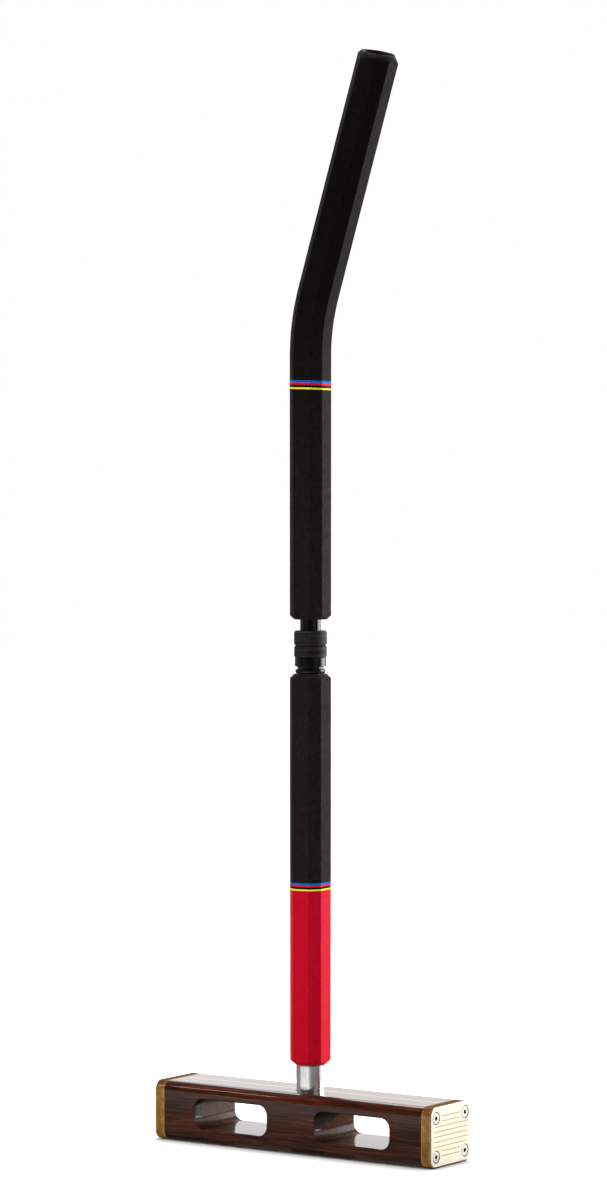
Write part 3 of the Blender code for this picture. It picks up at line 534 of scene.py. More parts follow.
def carve(ob, cutters, union=()):
    """Cut ob with the cutters, keep the result as its mesh, and drop the cutters."""
    for tool, operation in [(c, "DIFFERENCE") for c in cutters] + [(u, "UNION") for u in union]:
        mod = ob.modifiers.new("cut", "BOOLEAN")
        mod.operation = operation
        mod.solver = "EXACT"
        mod.object = tool
    bpy.context.view_layer.update()
    graph = bpy.context.evaluated_depsgraph_get()
    mesh = bpy.data.meshes.new_from_object(ob.evaluated_get(graph))
    ob.modifiers.clear()
    old = ob.data
    ob.data = mesh
    mesh.name = ob.name
    bpy.data.meshes.remove(old)
    for tool in list(cutters) + list(union):
        bpy.data.objects.remove(tool, do_unlink=True)
    return ob


def dress(ob, body, mat, stands_for, sharp=30.0, weighted=True):
    mesh = ob.data
    mesh.materials.clear()
    mesh.materials.append(mat)
    mesh.shade_smooth()
    mesh.set_sharp_from_angle(angle=math.radians(sharp))
    if weighted:
        mod = ob.modifiers.new("normals", "WEIGHTED_NORMAL")
        mod.mode = "FACE_AREA"
        mod.keep_sharp = True
    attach(ob, body)
    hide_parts(*stands_for)
    return ob


def lathe(name, profile, segments=96, closed=False, turn=0.0):
    """Turn (radius, height) points about Z; a closed profile makes a ring."""
    rings = []
    for r, z in profile:
        rings.append([Vector((r * math.cos(turn + math.tau * j / segments),
                              r * math.sin(turn + math.tau * j / segments), z))
                      for j in range(segments)])
    verts, faces = skin(rings, join=closed)
    return raw(name, verts, faces)


def ring_profile(points, radii, steps=4):
    """The softened section of a turned ring, whose first and last points are its bore."""
    return [(p.x, p.y) for p in soften(points, radii, steps)]


def prism(name, outline, stations, axis):
    """Carry an outline along an axis; stations are (place, growth of the outline)."""
    rings = []
    for place, grow in stations:
        ring = []
        for u, w in outline(grow):
            ring.append(Vector((place, u, w) if axis == 0 else
                               (u, place, w) if axis == 1 else (u, w, place)))
        rings.append(ring)
    verts, faces = skin(rings, caps=True)
    return raw(name, verts, faces)


def box_outline(half_u, half_w, radius, middle=(0.0, 0.0), steps=12, spans=1):
    def outline(grow):
        r = max(radius + grow, 0.0001)
        hu, hw = half_u + grow, half_w + grow
        corners = [(middle[0] + hu, middle[1] - hw), (middle[0] + hu, middle[1] + hw),
                   (middle[0] - hu, middle[1] + hw), (middle[0] - hu, middle[1] - hw)]
        return rounded_outline(corners, r, steps, spans)
    return outline


def quarter(inner, outer, radius, steps, sign=1.0):
    """Stations that bell a prism out by radius, from inner onwards; outer is not used."""
    return [(inner + sign * radius * math.sin(math.radians(90.0) * j / steps),
             radius * (1.0 - math.cos(math.radians(90.0) * j / steps)))
            for j in range(steps + 1)]


# ----------------------------------------------------------------------- head
LENGTH, WIDTH, HEIGHT = 278.0 * MM, 60.3 * MM, 50.0 * MM
EDGE = 8.0 * MM
PLATE_THICK = 9.8 * MM
MIDDLE = HEIGHT / 2.0
WOOD_END = LENGTH / 2.0 - PLATE_THICK - 0.04 * MM
RIM = 0.75 * MM                   # eased edge of the windows
TUBE_R = 12.0 * MM
SHELL = TUBE_R - 1.5 * MM
SEAT = 14.0 * MM

section = box_outline(WIDTH / 2.0, HEIGHT / 2.0, EDGE, (0.0, MIDDLE), steps=16, spans=2)
wood_stations = [(-WOOD_END, -0.12 * MM), (-WOOD_END + 0.12 * MM, 0.0)]
wood_stations += [(-WOOD_END + 0.12 * MM + (2.0 * WOOD_END - 0.24 * MM) * i / 24.0, 0.0)
                  for i in range(1, 24)]
wood_stations += [(WOOD_END - 0.12 * MM, 0.0), (WOOD_END, -0.12 * MM)]
head = prism("head_wood", section, wood_stations, 0)

cutters = []
for sign in (-1.0, 1.0):
    window = box_outline((98.2 - 24.0) / 2.0 * MM, (37.7 - 12.3) / 2.0 * MM, 8.5 * MM,
                         (sign * (98.2 + 24.0) / 2.0 * MM, MIDDLE), steps=14, spans=2)
    face = WIDTH / 2.0
    stations = [(-face - 4.0 * MM, RIM)]
    stations += [(-face + RIM * (1.0 - math.cos(t)), RIM * (1.0 - math.sin(t)))
                 for t in (math.radians(90.0) * j / 7.0 for j in range(8))]
    stations += [(y * MM, 0.0) for y in (-20.0, -10.0, 0.0, 10.0, 20.0)]
    stations += [(face - RIM * (1.0 - math.cos(t)), RIM * (1.0 - math.sin(t)))
                 for t in (math.radians(90.0) * j / 7.0 for j in range(7, -1, -1))]
    stations += [(face + 4.0 * MM, RIM)]
    cutters.append(prism("window_tool", window, stations, 1))

hole_r = TUBE_R + 0.10 * MM
mouth = 0.7 * MM
mouth_line = [(hole_r + mouth * (1.0 - math.sin(t)), HEIGHT - mouth * (1.0 - math.cos(t)))
              for t in (math.radians(90.0) * j / 6.0 for j in range(7))]
mortise_profile = ([(0.0, HEIGHT + 4.0 * MM), (hole_r + mouth, HEIGHT + 4.0 * MM)]
                   + mouth_line
                   + [(hole_r, SEAT), (3.3 * MM, SEAT), (3.3 * MM, 9.0 * MM),
                      (8.2 * MM, 9.0 * MM), (8.2 * MM, 0.4 * MM), (8.6 * MM, 0.0),
                      (8.6 * MM, -3.0 * MM), (0.0, -3.0 * MM)])
cutters.append(lathe("mortise_tool", mortise_profile, 96))

SCREW_SPOTS = [(y * MM, MIDDLE + z * MM) for z in (15.8, -15.8) for y in (-21.8, 21.8)]
for sign in (-1.0, 1.0):
    for y, z in SCREW_SPOTS:
        hole = lathe("insert_tool", [(0.0, 12.6 * MM), (4.3 * MM, 12.6 * MM),
                                     (4.3 * MM, -5.0 * MM), (0.0, -5.0 * MM)], 32)
        hole.matrix_world = (Matrix.Translation((sign * (WOOD_END + 0.04 * MM), y, z))
                             @ Matrix.Rotation(math.radians(-90.0 * sign), 4, "Y"))
        hole.data.transform(hole.matrix_world)
        hole.matrix_world = Matrix.Identity(4)
        cutters.append(hole)

SIGHT_START, SIGHT_END = 13.5 * MM, WOOD_END - 2.0 * MM
for sign in (-1.0, 1.0):
    mid = sign * (SIGHT_START + SIGHT_END) / 2.0
    slotted = box_outline((SIGHT_END - SIGHT_START) / 2.0 + 0.02 * MM, 0.72 * MM, 0.05 * MM,
                          (mid, 0.0), steps=2)
    cutters.append(prism("sight_tool", slotted,
                         [(HEIGHT - 1.03 * MM, 0.0), (HEIGHT + 2.0 * MM, 0.0)], 2))
carve(head, cutters)
dress(head, HEAD, WOOD, ["head_body"], sharp=34.0)

for side, sign in (("left", -1.0), ("right", 1.0)):
    mid = sign * (SIGHT_START + SIGHT_END) / 2.0
    strip = box_outline((SIGHT_END - SIGHT_START) / 2.0, 0.70 * MM, 0.10 * MM, (mid, 0.0),
                        steps=3, spans=12)
    line = prism("sight_line_%s_inlay" % side, strip,
                 [(HEIGHT - 1.0 * MM, 0.0), (HEIGHT - 0.06 * MM, 0.0),
                  (HEIGHT, -0.06 * MM)], 2)
    dress(line, HEAD, INLAY, ["sight_line_" + side])

# ----------------------------------------------------------------- end plates
GROOVE_PITCH, GROOVE_COUNT = 4.1 * MM, 9
for side, sign in (("left", -1.0), ("right", 1.0)):
    inner, outer = LENGTH / 2.0 - PLATE_THICK, LENGTH / 2.0
    outline = box_outline(WIDTH / 2.0, HEIGHT / 2.0, EDGE, (0.0, MIDDLE), steps=18, spans=3)
    edge = 0.95 * MM
    stations = [(inner, -0.45 * MM), (inner + 0.13 * MM, -0.18 * MM),
                (inner + 0.40 * MM, 0.0), (inner + 3.5 * MM, 0.0), (inner + 6.5 * MM, 0.0)]
    stations += [(outer - edge * (1.0 - math.sin(t)), -edge * (1.0 - math.cos(t)))
                 for t in (math.radians(90.0) * j / 7.0 for j in range(8))]
    stations = [(sign * x, grow) for x, grow in stations]
    plate = prism("end_plate_%s_brass" % side, outline, stations, 0)

    tools = []
    for i in range(GROOVE_COUNT):
        step = i - (GROOVE_COUNT - 1) / 2.0
        half = (56.0 if abs(step) <= 2.0 else 29.0) / 2.0 * MM
        # a round-bottomed cut whose ends rise, as a milling cutter leaves them
        rings = []
        width, depth = 0.80 * MM, 0.30 * MM
        for k in range(17):
            t = -1.0 + 2.0 * k / 16.0
            y = half * t
            fade = min(1.0, (1.0 - abs(t)) * half / (1.6 * MM))
            sink = max(0.02, math.sqrt(max(0.0, 1.0 - (1.0 - fade) ** 2)))
            w = width * max(0.10, sink)
            ring = [Vector((sign * (outer + 0.6 * MM), y, MIDDLE + step * GROOVE_PITCH + w)),
                    Vector((sign * (outer + 0.6 * MM), y, MIDDLE + step * GROOVE_PITCH - w))]
            for m in range(7):
                a = math.pi * m / 6.0
                ring.append(Vector((sign * (outer + 0.001 * MM - depth * sink * math.sin(a)),
                                    y, MIDDLE + step * GROOVE_PITCH - w * math.cos(a))))
            rings.append(ring)
        verts, faces = skin(rings, caps=True)
        tools.append(raw("groove_tool", verts, faces))
    for y, z in SCREW_SPOTS:
        sink = lathe("sink_tool", [(0.0, 3.0 * MM), (5.42 * MM, 3.0 * MM),
                                   (5.42 * MM, 0.02 * MM), (5.34 * MM, -0.10 * MM),
                                   (5.30 * MM, -0.90 * MM), (2.7 * MM, -3.00 * MM),
                                   (2.7 * MM, -16.0 * MM), (0.0, -16.0 * MM)], 56)
        sink.data.transform(Matrix.Translation((sign * outer, y, z))
                            @ Matrix.Rotation(math.radians(90.0 * sign), 4, "Y"))
        tools.append(sink)
    carve(plate, tools)
    dress(plate, HEAD, PLATE, ["end_plate_" + side], sharp=34.0)

# ---------------------------------------------------------------- face screws
screw_profile = ring_profile(
    [(0.0, 0.0), (4.60 * MM, 0.0), (4.66 * MM, -0.42 * MM), (2.5 * MM, -2.65 * MM),
     (2.5 * MM, -17.4 * MM), (1.9 * MM, -18.0 * MM), (0.0, -18.0 * MM)],
    [0.22 * MM, 0.12 * MM, 0.3 * MM, 0.1 * MM, 0.1 * MM], 4)
screw = lathe("screw_master", screw_profile, 64)
hexagon = [(1.75 * MM / math.cos(math.radians(30.0)) * math.cos(math.radians(60.0 * i + 12.0)),
            1.75 * MM / math.cos(math.radians(30.0)) * math.sin(math.radians(60.0 * i + 12.0)))
           for i in range(6)]
key = prism("hex_tool", lambda grow: rounded_outline(hexagon, 0.10 * MM, 3, 1),
            [(-2.1 * MM, 0.0), (1.0 * MM, 0.0)], 2)
ease = lathe("hex_ease_tool", [(0.0, 0.6 * MM), (2.35 * MM, 0.6 * MM), (1.70 * MM, -0.10 * MM),
                               (0.0, -0.10 * MM)], 48)
point = lathe("hex_point_tool", [(0.0, -1.9 * MM), (1.62 * MM, -1.9 * MM),
                                 (0.0, -2.7 * MM)], 32)
carve(screw, [key, ease, point])
screw_mesh = screw.data
bpy.data.objects.remove(screw, do_unlink=True)
for side, sign in (("left", -1.0), ("right", 1.0)):
    for number, (label, (y, z)) in enumerate(zip(
            ("upper_front", "upper_back", "lower_front", "lower_back"), SCREW_SPOTS)):
        copy = screw_mesh.copy()
        turn = math.radians((7.0, 41.0, 23.0, 55.0)[number] + (0.0 if sign > 0 else 17.0))
        copy.transform(Matrix.Translation((sign * (LENGTH / 2.0 - 0.15 * MM), y, z))
                       @ Matrix.Rotation(math.radians(90.0 * sign), 4, "Y")
                       @ Matrix.Rotation(turn, 4, "Z"))
        name = "face_screw_%s_%s" % (side, label)
        ob = bpy.data.objects.new(name + "_steel", copy)
        scene.collection.objects.link(ob)
        dress(ob, HEAD, SCREW, [name])
bpy.data.meshes.remove(screw_mesh)

# ------------------------------------------------------------- lower tube, foot
LOW_TURN = math.radians(1.9)
UP_TURN = math.radians(5.3)
LOW_TOP = 398.1 * MM
tube_profile = ring_profile(
    [(SHELL, 14.3 * MM), (TUBE_R - 0.5 * MM, 14.3 * MM), (TUBE_R, 14.9 * MM),
     (TUBE_R, 70.6 * MM), (TUBE_R - 0.2 * MM, 70.8 * MM), (TUBE_R - 0.2 * MM, 71.0 * MM),
     (TUBE_R, 71.2 * MM), (TUBE_R, LOW_TOP - 0.2 * MM), (TUBE_R - 0.2 * MM, LOW_TOP),
     (SHELL, LOW_TOP)],
    [0.1 * MM, 0.1 * MM, 0.06 * MM, 0.04 * MM, 0.04 * MM, 0.06 * MM, 0.05 * MM, 0.05 * MM], 3)
tube = lathe("lower_tube_drawn", tube_profile, 128, closed=True, turn=LOW_TURN)
cross = lathe("cross_tool", [(0.0, 20.0 * MM), (1.8 * MM, 20.0 * MM), (1.8 * MM, -20.0 * MM),
                             (0.0, -20.0 * MM)], 32)
cross.data.transform(Matrix.Rotation(LOW_TURN, 4, "Z")
                     @ Matrix.Translation((0.0, 0.0, 367.0 * MM))
                     @ Matrix.Rotation(math.radians(90.0), 4, "X"))
carve(tube, [cross])
dress(tube, HEAD, TUBE, ["lower_tube"])

washer = lathe("anchor_washer_steel", ring_profile(
    [(3.3 * MM, 8.1 * MM), (3.3 * MM, 7.5 * MM), (7.6 * MM, 7.5 * MM), (7.6 * MM, 8.7 * MM),
     (3.3 * MM, 8.7 * MM), (3.3 * MM, 8.1 * MM)], 0.15 * MM, 3)[:-1], 64, closed=True)
dress(washer, HEAD, STEEL, ["anchor_washer"])

bolt_low, bolt_high = 1.2 * MM, 7.2 * MM
bolt = lathe("anchor_bolt_steel", ring_profile(
    [(0.0, 38.0 * MM), (2.4 * MM, 38.0 * MM), (3.0 * MM, 37.4 * MM), (3.0 * MM, bolt_high),
     (5.0 * MM, bolt_high), (5.0 * MM, bolt_low), (0.0, bolt_low)],
    [0.1 * MM, 0.1 * MM, 0.2 * MM, 0.1 * MM, 0.6 * MM], 4), 72)
bolt_hex = [(2.5 * MM / math.cos(math.radians(30.0)) * math.cos(math.radians(60.0 * i)),
             2.5 * MM / math.cos(math.radians(30.0)) * math.sin(math.radians(60.0 * i)))
            for i in range(6)]
key = prism("bolt_key_tool", lambda grow: rounded_outline(bolt_hex, 0.12 * MM, 3, 1),
            [(bolt_low - 1.0 * MM, 0.0), (bolt_low + 3.0 * MM, 0.0)], 2)
ease = lathe("bolt_ease_tool", [(0.0, bolt_low + 0.3 * MM), (2.55 * MM, bolt_low + 0.3 * MM),
                                (3.25 * MM, bolt_low - 0.4 * MM),
                                (0.0, bolt_low - 0.4 * MM)], 48)
carve(bolt, [key, ease])
dress(bolt, HEAD, STEEL, ["anchor_bolt"])

# ---------------------------------------------------------------- foam grips
FLAT_RATIO = 0.512
CORNER = 1.1 * MM
BORE = TUBE_R + 0.15 * MM


def octagon_ring(half, radius=CORNER):
    flat = half * FLAT_RATIO
    corners = [(half, -flat), (half, flat), (flat, half), (-flat, half),
               (-half, flat), (-half, -flat), (-flat, -half), (flat, -half)]
    return rounded_outline(corners, radius, 4, 5)


BEND_START = 662.0 * MM
BEND_ANGLE = math.radians(16.3)
BEND_R = 186.3 * MM
HANDLE_END_Z = 910.3 * MM
bend_rise = BEND_R * math.sin(BEND_ANGLE)
bend_shift = BEND_R * (1.0 - math.cos(BEND_ANGLE))
bend_length = BEND_R * BEND_ANGLE
handle_end = bend_length + (HANDLE_END_Z - BEND_START - bend_rise) / math.cos(BEND_ANGLE)


def axis_frame(along):
    """Point, side and way of the upper axis, measured from where the bend begins."""
    if along <= 0.0:
        angle, spot = 0.0, Vector((0.0, 0.0, BEND_START + along))
    elif along <= bend_length:
        angle = along / BEND_R
        spot = Vector((BEND_R * (1.0 - math.cos(angle)), 0.0,
                       BEND_START + BEND_R * math.sin(angle)))
    else:
        angle = BEND_ANGLE
        rest = along - bend_length
        spot = Vector((bend_shift + rest * math.sin(angle), 0.0,
                       BEND_START + bend_rise + rest * math.cos(angle)))
    side = Vector((math.cos(angle), 0.0, -math.sin(angle)))
    way = Vector((math.sin(angle), 0.0, math.cos(angle)))
    return spot, side, way


def wobble(x, y, z, size, seed):
    """A smooth, repeatable unevenness of the ground foam."""
    spot = Vector((x / size + seed * 3.7, y / size - seed * 1.9, z / size + seed))
    return noise.noise(spot)


class Cut:
    """Where two rings of foam meet: a level, its slope, and a slightly uneven line."""

    def __init__(self, level, slope_x=0.0, slope_y=0.0, rough=0.0, seed=0.0):
        self.level, self.sx, self.sy = level, slope_x, slope_y
        self.rough, self.seed = rough, seed

    def at(self, x, y):
        return (self.level + self.sx * x + self.sy * y
                + self.rough * wobble(x, y, 0.0, 6.0 * MM, self.seed))


def foam_piece(name, low, high, half_at, mat, node, body, turn, bore=BORE,
               low_end=None, high_end=None, step=3.0 * MM, frame_at=None, slope=(0.0, 0.0), lean=(0.0, 0.0)):
    """An eight-sided sleeve between two cuts.

    An end is ground to a cone, (radius at the end, rise per unit outwards), or None for a
    square meeting face.  frame_at turns a distance up the sleeve into a point, side and way.
    """
    def cone_rings(level, end, sign, slope=(0.0, 0.0)):
        """Rings from the bore's edge out over the end and down the cone to the wall."""
        radius, rise = end
        lean_u, lean_v = lean
        outline = octagon_ring(half_at(level))
        far = max(p.length for p in outline)
        top = (far - radius + math.hypot(lean_u, lean_v)) * rise + 2.4 * MM
        columns = []
        for p in outline:
            r = p.length
            tip = slope[0] * p.x + slope[1] * p.y
            edge = radius - (lean_u * p.x + lean_v * p.y) / r
            foot = (r - edge) * rise - tip
            line = [(bore + 0.04 * MM, -tip), (edge, -tip), (r, foot), (r, top)]
            columns.append([(p * (q.x / r), q.y)
                            for q in soften(line, [0.22 * MM, 0.60 * MM], 5)])
        out = []
        for i in range(len(columns[0])):
            ring = []
            for j, column in enumerate(columns):
                (u, v), down = column[i]
                k = 1.0 + 0.05 * MM / radius * wobble(u, v, level + i * 0.3 * MM, 6.0 * MM, 4.0)
                spot, side, way = frame_at(level - sign * down)
                ring.append(spot + side * (u * k) + Vector((0.0, 1.0, 0.0)) * (v * k))
            out.append(ring)
        return out, top

    rings = []
    start = cone_rings(low.level, low_end, -1.0) if low_end else None
    finish = cone_rings(high.level, high_end, 1.0, slope) if high_end else None

    def ring_at(along, inset, which, seed):
        half = half_at(along) - inset
        points = []
        spot, side, way = frame_at(along)
        for u, v in octagon_ring(half):
            lift = 0.0
            if which == "low":
                lift = low.at(u, v) - low.level
            elif which == "high":
                lift = high.at(u, v) - high.level
            k = 1.0 + 0.06 * MM / half * wobble(u, v, along, 9.0 * MM, seed)
            points.append(spot + side * (u * k) + Vector((0.0, 1.0, 0.0)) * (v * k)
                          + way * lift)
        return points

    def bore_ring(along, which):
        points = []
        spot, side, way = frame_at(along)
        for u, v in octagon_ring(half_at(along)):
            r = math.hypot(u, v)
            cu, cv = u / r * bore, v / r * bore
            lift = 0.0
            if which == "low":
                lift = low.at(cu, cv) - low.level
            elif which == "high":
                lift = high.at(cu, cv) - high.level + slope[0] * cu + slope[1] * cv
            points.append(spot + side * cu + Vector((0.0, 1.0, 0.0)) * cv + way * lift)
        return points

    seed = low.seed + 1.0
    if start:
        rings += start[0]
        first = low.level + start[1]
    else:
        rings.append(ring_at(low.level, 0.0, "low", seed))
        first = low.level
    last = high.level - (finish[1] if finish else 0.0)
    count = max(1, round((last - first) / step))
    for i in range(1, count):
        rings.append(ring_at(first + (last - first) * i / count, 0.0, None, seed))
    if finish:
        rings += reversed(finish[0])
    else:
        rings.append(ring_at(high.level, 0.0, "high", seed))
    inner = max(1, round((high.level - low.level) / (8.0 * MM)))
    for i in range(inner, -1, -1):
        along = low.level + (high.level - low.level) * i / inner
        rings.append(bore_ring(along, "high" if i == inner else "low" if i == 0 else None))
    verts, faces = skin(rings, join=True)
    rotate = Matrix.Rotation(turn, 3, "Z")
    ob = raw(name, [rotate @ v for v in verts], faces)
    dress(ob, body, mat, [node], sharp=40.0)
    return ob


def straight(along):
    return (Vector((0.0, 0.0, along)), Vector((1.0, 0.0, 0.0)), Vector((0.0, 0.0, 1.0)))


def bent(along):
    return axis_frame(along - BEND_START)


# lower grip: red, four rings, black
LOW_STRIPES, LOW_PITCH = 217.7 * MM, 1.7 * MM
UP_STRIPES, UP_PITCH = 633.8 * MM, 2.0 * MM
ORDER = ("yellow", "black", "red", "blue")
right = (math.cos(CAM_AZ), math.sin(CAM_AZ))
# the lower rings rise a little, and the upper ones fall, towards +X +Y
low_cuts = [Cut(LOW_STRIPES + LOW_PITCH * i + (0.35 * MM if i == 0 else 0.0), 0.012 * right[0], 0.012 * right[1],
                0.12 * MM, 11.0 + i) for i in range(5)]
up_cuts = [Cut(UP_STRIPES + UP_PITCH * i + (0.55 * MM if i == 0 else 0.0), -0.034 * right[0], -0.034 * right[1],
               0.16 * MM, 31.0 + i) for i in range(5)]


def low_half(z):
    return 15.35 * MM + (z - 70.0 * MM) / (398.0 * MM - 70.0 * MM) * 0.13 * MM


def up_half(z):
    return 15.38 * MM + min(1.0, max(0.0, (z - 443.0 * MM) / (190.0 * MM))) * 0.07 * MM


foam_piece("lower_grip_red_foam", Cut(71.4 * MM, seed=2.0), low_cuts[0], low_half, RED_FOAM,
           "lower_grip_red", HEAD, LOW_TURN, low_end=(12.65 * MM, 0.86),
           frame_at=straight)
for i, colour in enumerate(ORDER):
    foam_piece("lower_stripe_%s_foam" % colour, low_cuts[i], low_cuts[i + 1], low_half,
               STRIPE[colour], "lower_stripe_" + colour, HEAD, LOW_TURN,
               frame_at=straight)
foam_piece("lower_grip_black_foam", low_cuts[4], Cut(LOW_TOP, seed=5.0), low_half, BLACK_FOAM,
           "lower_grip_black", HEAD, LOW_TURN, high_end=(13.7 * MM, 0.98),
           frame_at=straight)

# upper grip: black, four rings, black with the bend
foam_piece("upper_grip_straight_foam", Cut(443.5 * MM, seed=7.0), up_cuts[0], up_half,
           BLACK_FOAM, "upper_grip_straight", HANDLE, UP_TURN,
           low_end=(13.5 * MM, 0.85), frame_at=straight)
for i, colour in enumerate(ORDER):
    foam_piece("upper_stripe_%s_foam" % colour, up_cuts[i], up_cuts[i + 1], up_half,
               STRIPE[colour], "upper_stripe_" + colour, HANDLE, UP_TURN,
               frame_at=straight)

# the top of the handle is cut a little out of square
foam_piece("upper_grip_bent_foam", up_cuts[4], Cut(BEND_START + handle_end, seed=9.0),
           up_half, BLACK_FOAM, "upper_grip_bent", HANDLE, UP_TURN,
           high_end=(14.0 * MM, 1.35), frame_at=bent, slope=(0.03, 0.09),
           lean=(1.22 * MM, 0.68 * MM))

# -------------------------------------------------------------------- coupling
RING_R, FLANGE_R, UNDERCUT_R, STUB_R, NECK_R, NUT_R = (
    13.27 * MM, 12.75 * MM, 11.0 * MM, 10.4 * MM, 8.85 * MM, 13.7 * MM)
PIN_R = 6.7 * MM
socket_points = [
    (PIN_R + 0.3 * MM, 374.0 * MM), (0.0, 374.0 * MM), (0.0, 360.0 * MM),
    (SHELL - 0.3 * MM, 360.0 * MM), (SHELL - 0.3 * MM, 398.4 * MM),
    (FLANGE_R - 0.7 * MM, 398.4 * MM), (FLANGE_R, 400.2 * MM), (FLANGE_R, 401.7 * MM),
    (FLANGE_R - 0.5 * MM, 402.2 * MM), (UNDERCUT_R, 402.2 * MM), (UNDERCUT_R, 404.2 * MM),
    (RING_R, 404.2 * MM), (RING_R, 411.8 * MM), (STUB_R, 411.8 * MM), (STUB_R, 421.0 * MM),
    (PIN_R + 0.3 * MM, 421.0 * MM)]
socket_radii = [0.0, 0.0, 0.3 * MM, 0.1 * MM, 0.20 * MM, 0.5 * MM, 0.30 * MM, 0.2 * MM,
                0.25 * MM, 0.25 * MM, 0.45 * MM, 0.40 * MM, 0.2 * MM, 0.4 * MM]
socket = lathe("coupling_socket_anodised", ring_profile(socket_points, socket_radii, 5), 128,
               closed=True, turn=LOW_TURN)
cross = lathe("cross_tool", [(0.0, 20.0 * MM), (1.8 * MM, 20.0 * MM), (1.8 * MM, -20.0 * MM),
                             (0.0, -20.0 * MM)], 32)
cross.data.transform(Matrix.Rotation(LOW_TURN, 4, "Z")
                     @ Matrix.Translation((0.0, 0.0, 367.0 * MM))
                     @ Matrix.Rotation(math.radians(90.0), 4, "X"))
peg_spot = (8.7 * MM * math.cos(UP_TURN), 8.7 * MM * math.sin(UP_TURN), 421.0 * MM)
peg = lathe("peg_tool", [(0.0, 5.5 * MM), (1.2 * MM, 5.5 * MM), (1.2 * MM, -5.5 * MM),
                         (0.0, -5.5 * MM)], 24)
peg.data.transform(Matrix.Translation(peg_spot))
carve(socket, [cross, peg])
dress(socket, HEAD, BLACK_SMOOTH, ["coupling_socket"])

flange_low, flange_high = 421.3 * MM, 424.3 * MM
GRIP_FOOT = 443.5 * MM
spigot_points = [
    (0.0, 478.0 * MM), (SHELL - 0.3 * MM, 478.0 * MM), (SHELL - 0.3 * MM, GRIP_FOOT + 0.5 * MM),
    (NECK_R, GRIP_FOOT + 0.5 * MM), (NECK_R, flange_high), (STUB_R, flange_high),
    (STUB_R, flange_low), (PIN_R, flange_low), (PIN_R, 382.0 * MM), (PIN_R - 1.0 * MM, 381.0 * MM),
    (0.0, 381.0 * MM)]
spigot_radii = [0.4 * MM, 0.1 * MM, 0.3 * MM, 0.2 * MM, 0.3 * MM, 0.2 * MM, 0.2 * MM,
                0.3 * MM, 0.3 * MM]
spigot = lathe("coupling_spigot_anodised", ring_profile(spigot_points, spigot_radii, 4), 128,
               turn=UP_TURN)
cross = lathe("cross_tool", [(0.0, 20.0 * MM), (1.8 * MM, 20.0 * MM), (1.8 * MM, -20.0 * MM),
                             (0.0, -20.0 * MM)], 32)
cross.data.transform(Matrix.Rotation(UP_TURN, 4, "Z")
                     @ Matrix.Translation((0.0, 0.0, 463.0 * MM))
                     @ Matrix.Rotation(math.radians(90.0), 4, "X"))
peg = lathe("peg_tool", [(0.0, 5.5 * MM), (1.2 * MM, 5.5 * MM), (1.2 * MM, -5.5 * MM),
                         (0.0, -5.5 * MM)], 24)
peg.data.transform(Matrix.Translation(peg_spot))
carve(spigot, [cross, peg])
dress(spigot, HANDLE, BLACK_GLOSS, ["coupling_spigot"])

# the nut: two finely knurled bands either side of a V-groove
nut_foot, nut_top = 412.1 * MM, 434.1 * MM
shoulder = 425.9 * MM
groove_low, groove_high = 420.8 * MM, 422.6 * MM
KNURLS, COLUMNS = 88, 352
KNURL_DEPTH = 0.17 * MM


def knurl(angle, z, low, high):
    """Depth of a fine diamond knurl, fading out at the band's ends."""
    turns = angle / math.tau * KNURLS
    rise = z / (0.98 * MM)
    deep = 0.0
    for phase in (turns + rise * 0.5, turns - rise * 0.5):
        tri = abs(2.0 * (phase - math.floor(phase)) - 1.0)
        deep = max(deep, max(0.0, (tri - 0.45) / 0.55))
    fade = min(1.0, max(0.0, (z - low) / (0.5 * MM)), max(0.0, (high - z) / (0.5 * MM)))
    return KNURL_DEPTH * deep * fade


def band_rows(low, high):
    rows = max(2, round((high - low) / (0.245 * MM)))
    return [("knurl", low + (high - low) * i / rows, low, high) for i in range(rows + 1)]


outer = [(p.x, p.y) for p in soften(
    [(STUB_R + 0.3 * MM, nut_foot), (NUT_R - 0.35 * MM, nut_foot), (NUT_R, nut_foot + 0.35 * MM),
     (NUT_R, nut_foot + 0.7 * MM)], [0.12 * MM, 0.12 * MM], 3)]
upper = [(p.x, p.y) for p in soften(
    [(NUT_R, nut_top - 1.9 * MM), (NUT_R, nut_top - 1.35 * MM), (NUT_R - 1.0 * MM, nut_top),
     (NECK_R + 0.3 * MM, nut_top)], [0.25 * MM, 0.25 * MM], 4)]
valley = [(p.x, p.y) for p in soften(
    [(NUT_R, groove_low - 0.3 * MM), (NUT_R, groove_low - 0.1 * MM),
     (NUT_R - 1.15 * MM, (groove_low + groove_high) / 2.0),
     (NUT_R, groove_high + 0.1 * MM), (NUT_R, groove_high + 0.3 * MM)],
    [0.12 * MM, 0.10 * MM, 0.12 * MM], 3)]
levels = [("plain", r, z) for r, z in outer[:-1]]
levels += band_rows(nut_foot + 0.7 * MM, groove_low - 0.3 * MM)
levels += [("plain", r, z) for r, z in valley[1:-1]]
levels += band_rows(groove_high + 0.3 * MM, nut_top - 1.9 * MM)
levels += [("plain", r, z) for r, z in upper[1:]]
levels += [("plain", NECK_R + 0.3 * MM, shoulder), ("plain", STUB_R + 0.3 * MM, shoulder)]
rings = []
for level in levels:
    ring = []
    for j in range(COLUMNS):
        angle = math.tau * j / COLUMNS
        if level[0] == "knurl":
            z = level[1]
            r = NUT_R - knurl(angle, z, level[2], level[3])
        else:
            r, z = level[1], level[2]
        ring.append(Vector((r * math.cos(angle), r * math.sin(angle), z)))
    rings.append(ring)
verts, faces = skin(rings, join=True)
nut = raw("coupling_nut_knurled", verts, faces)
dress(nut, NUT, BLACK_SATIN, ["coupling_nut"], sharp=50.0, weighted=False)

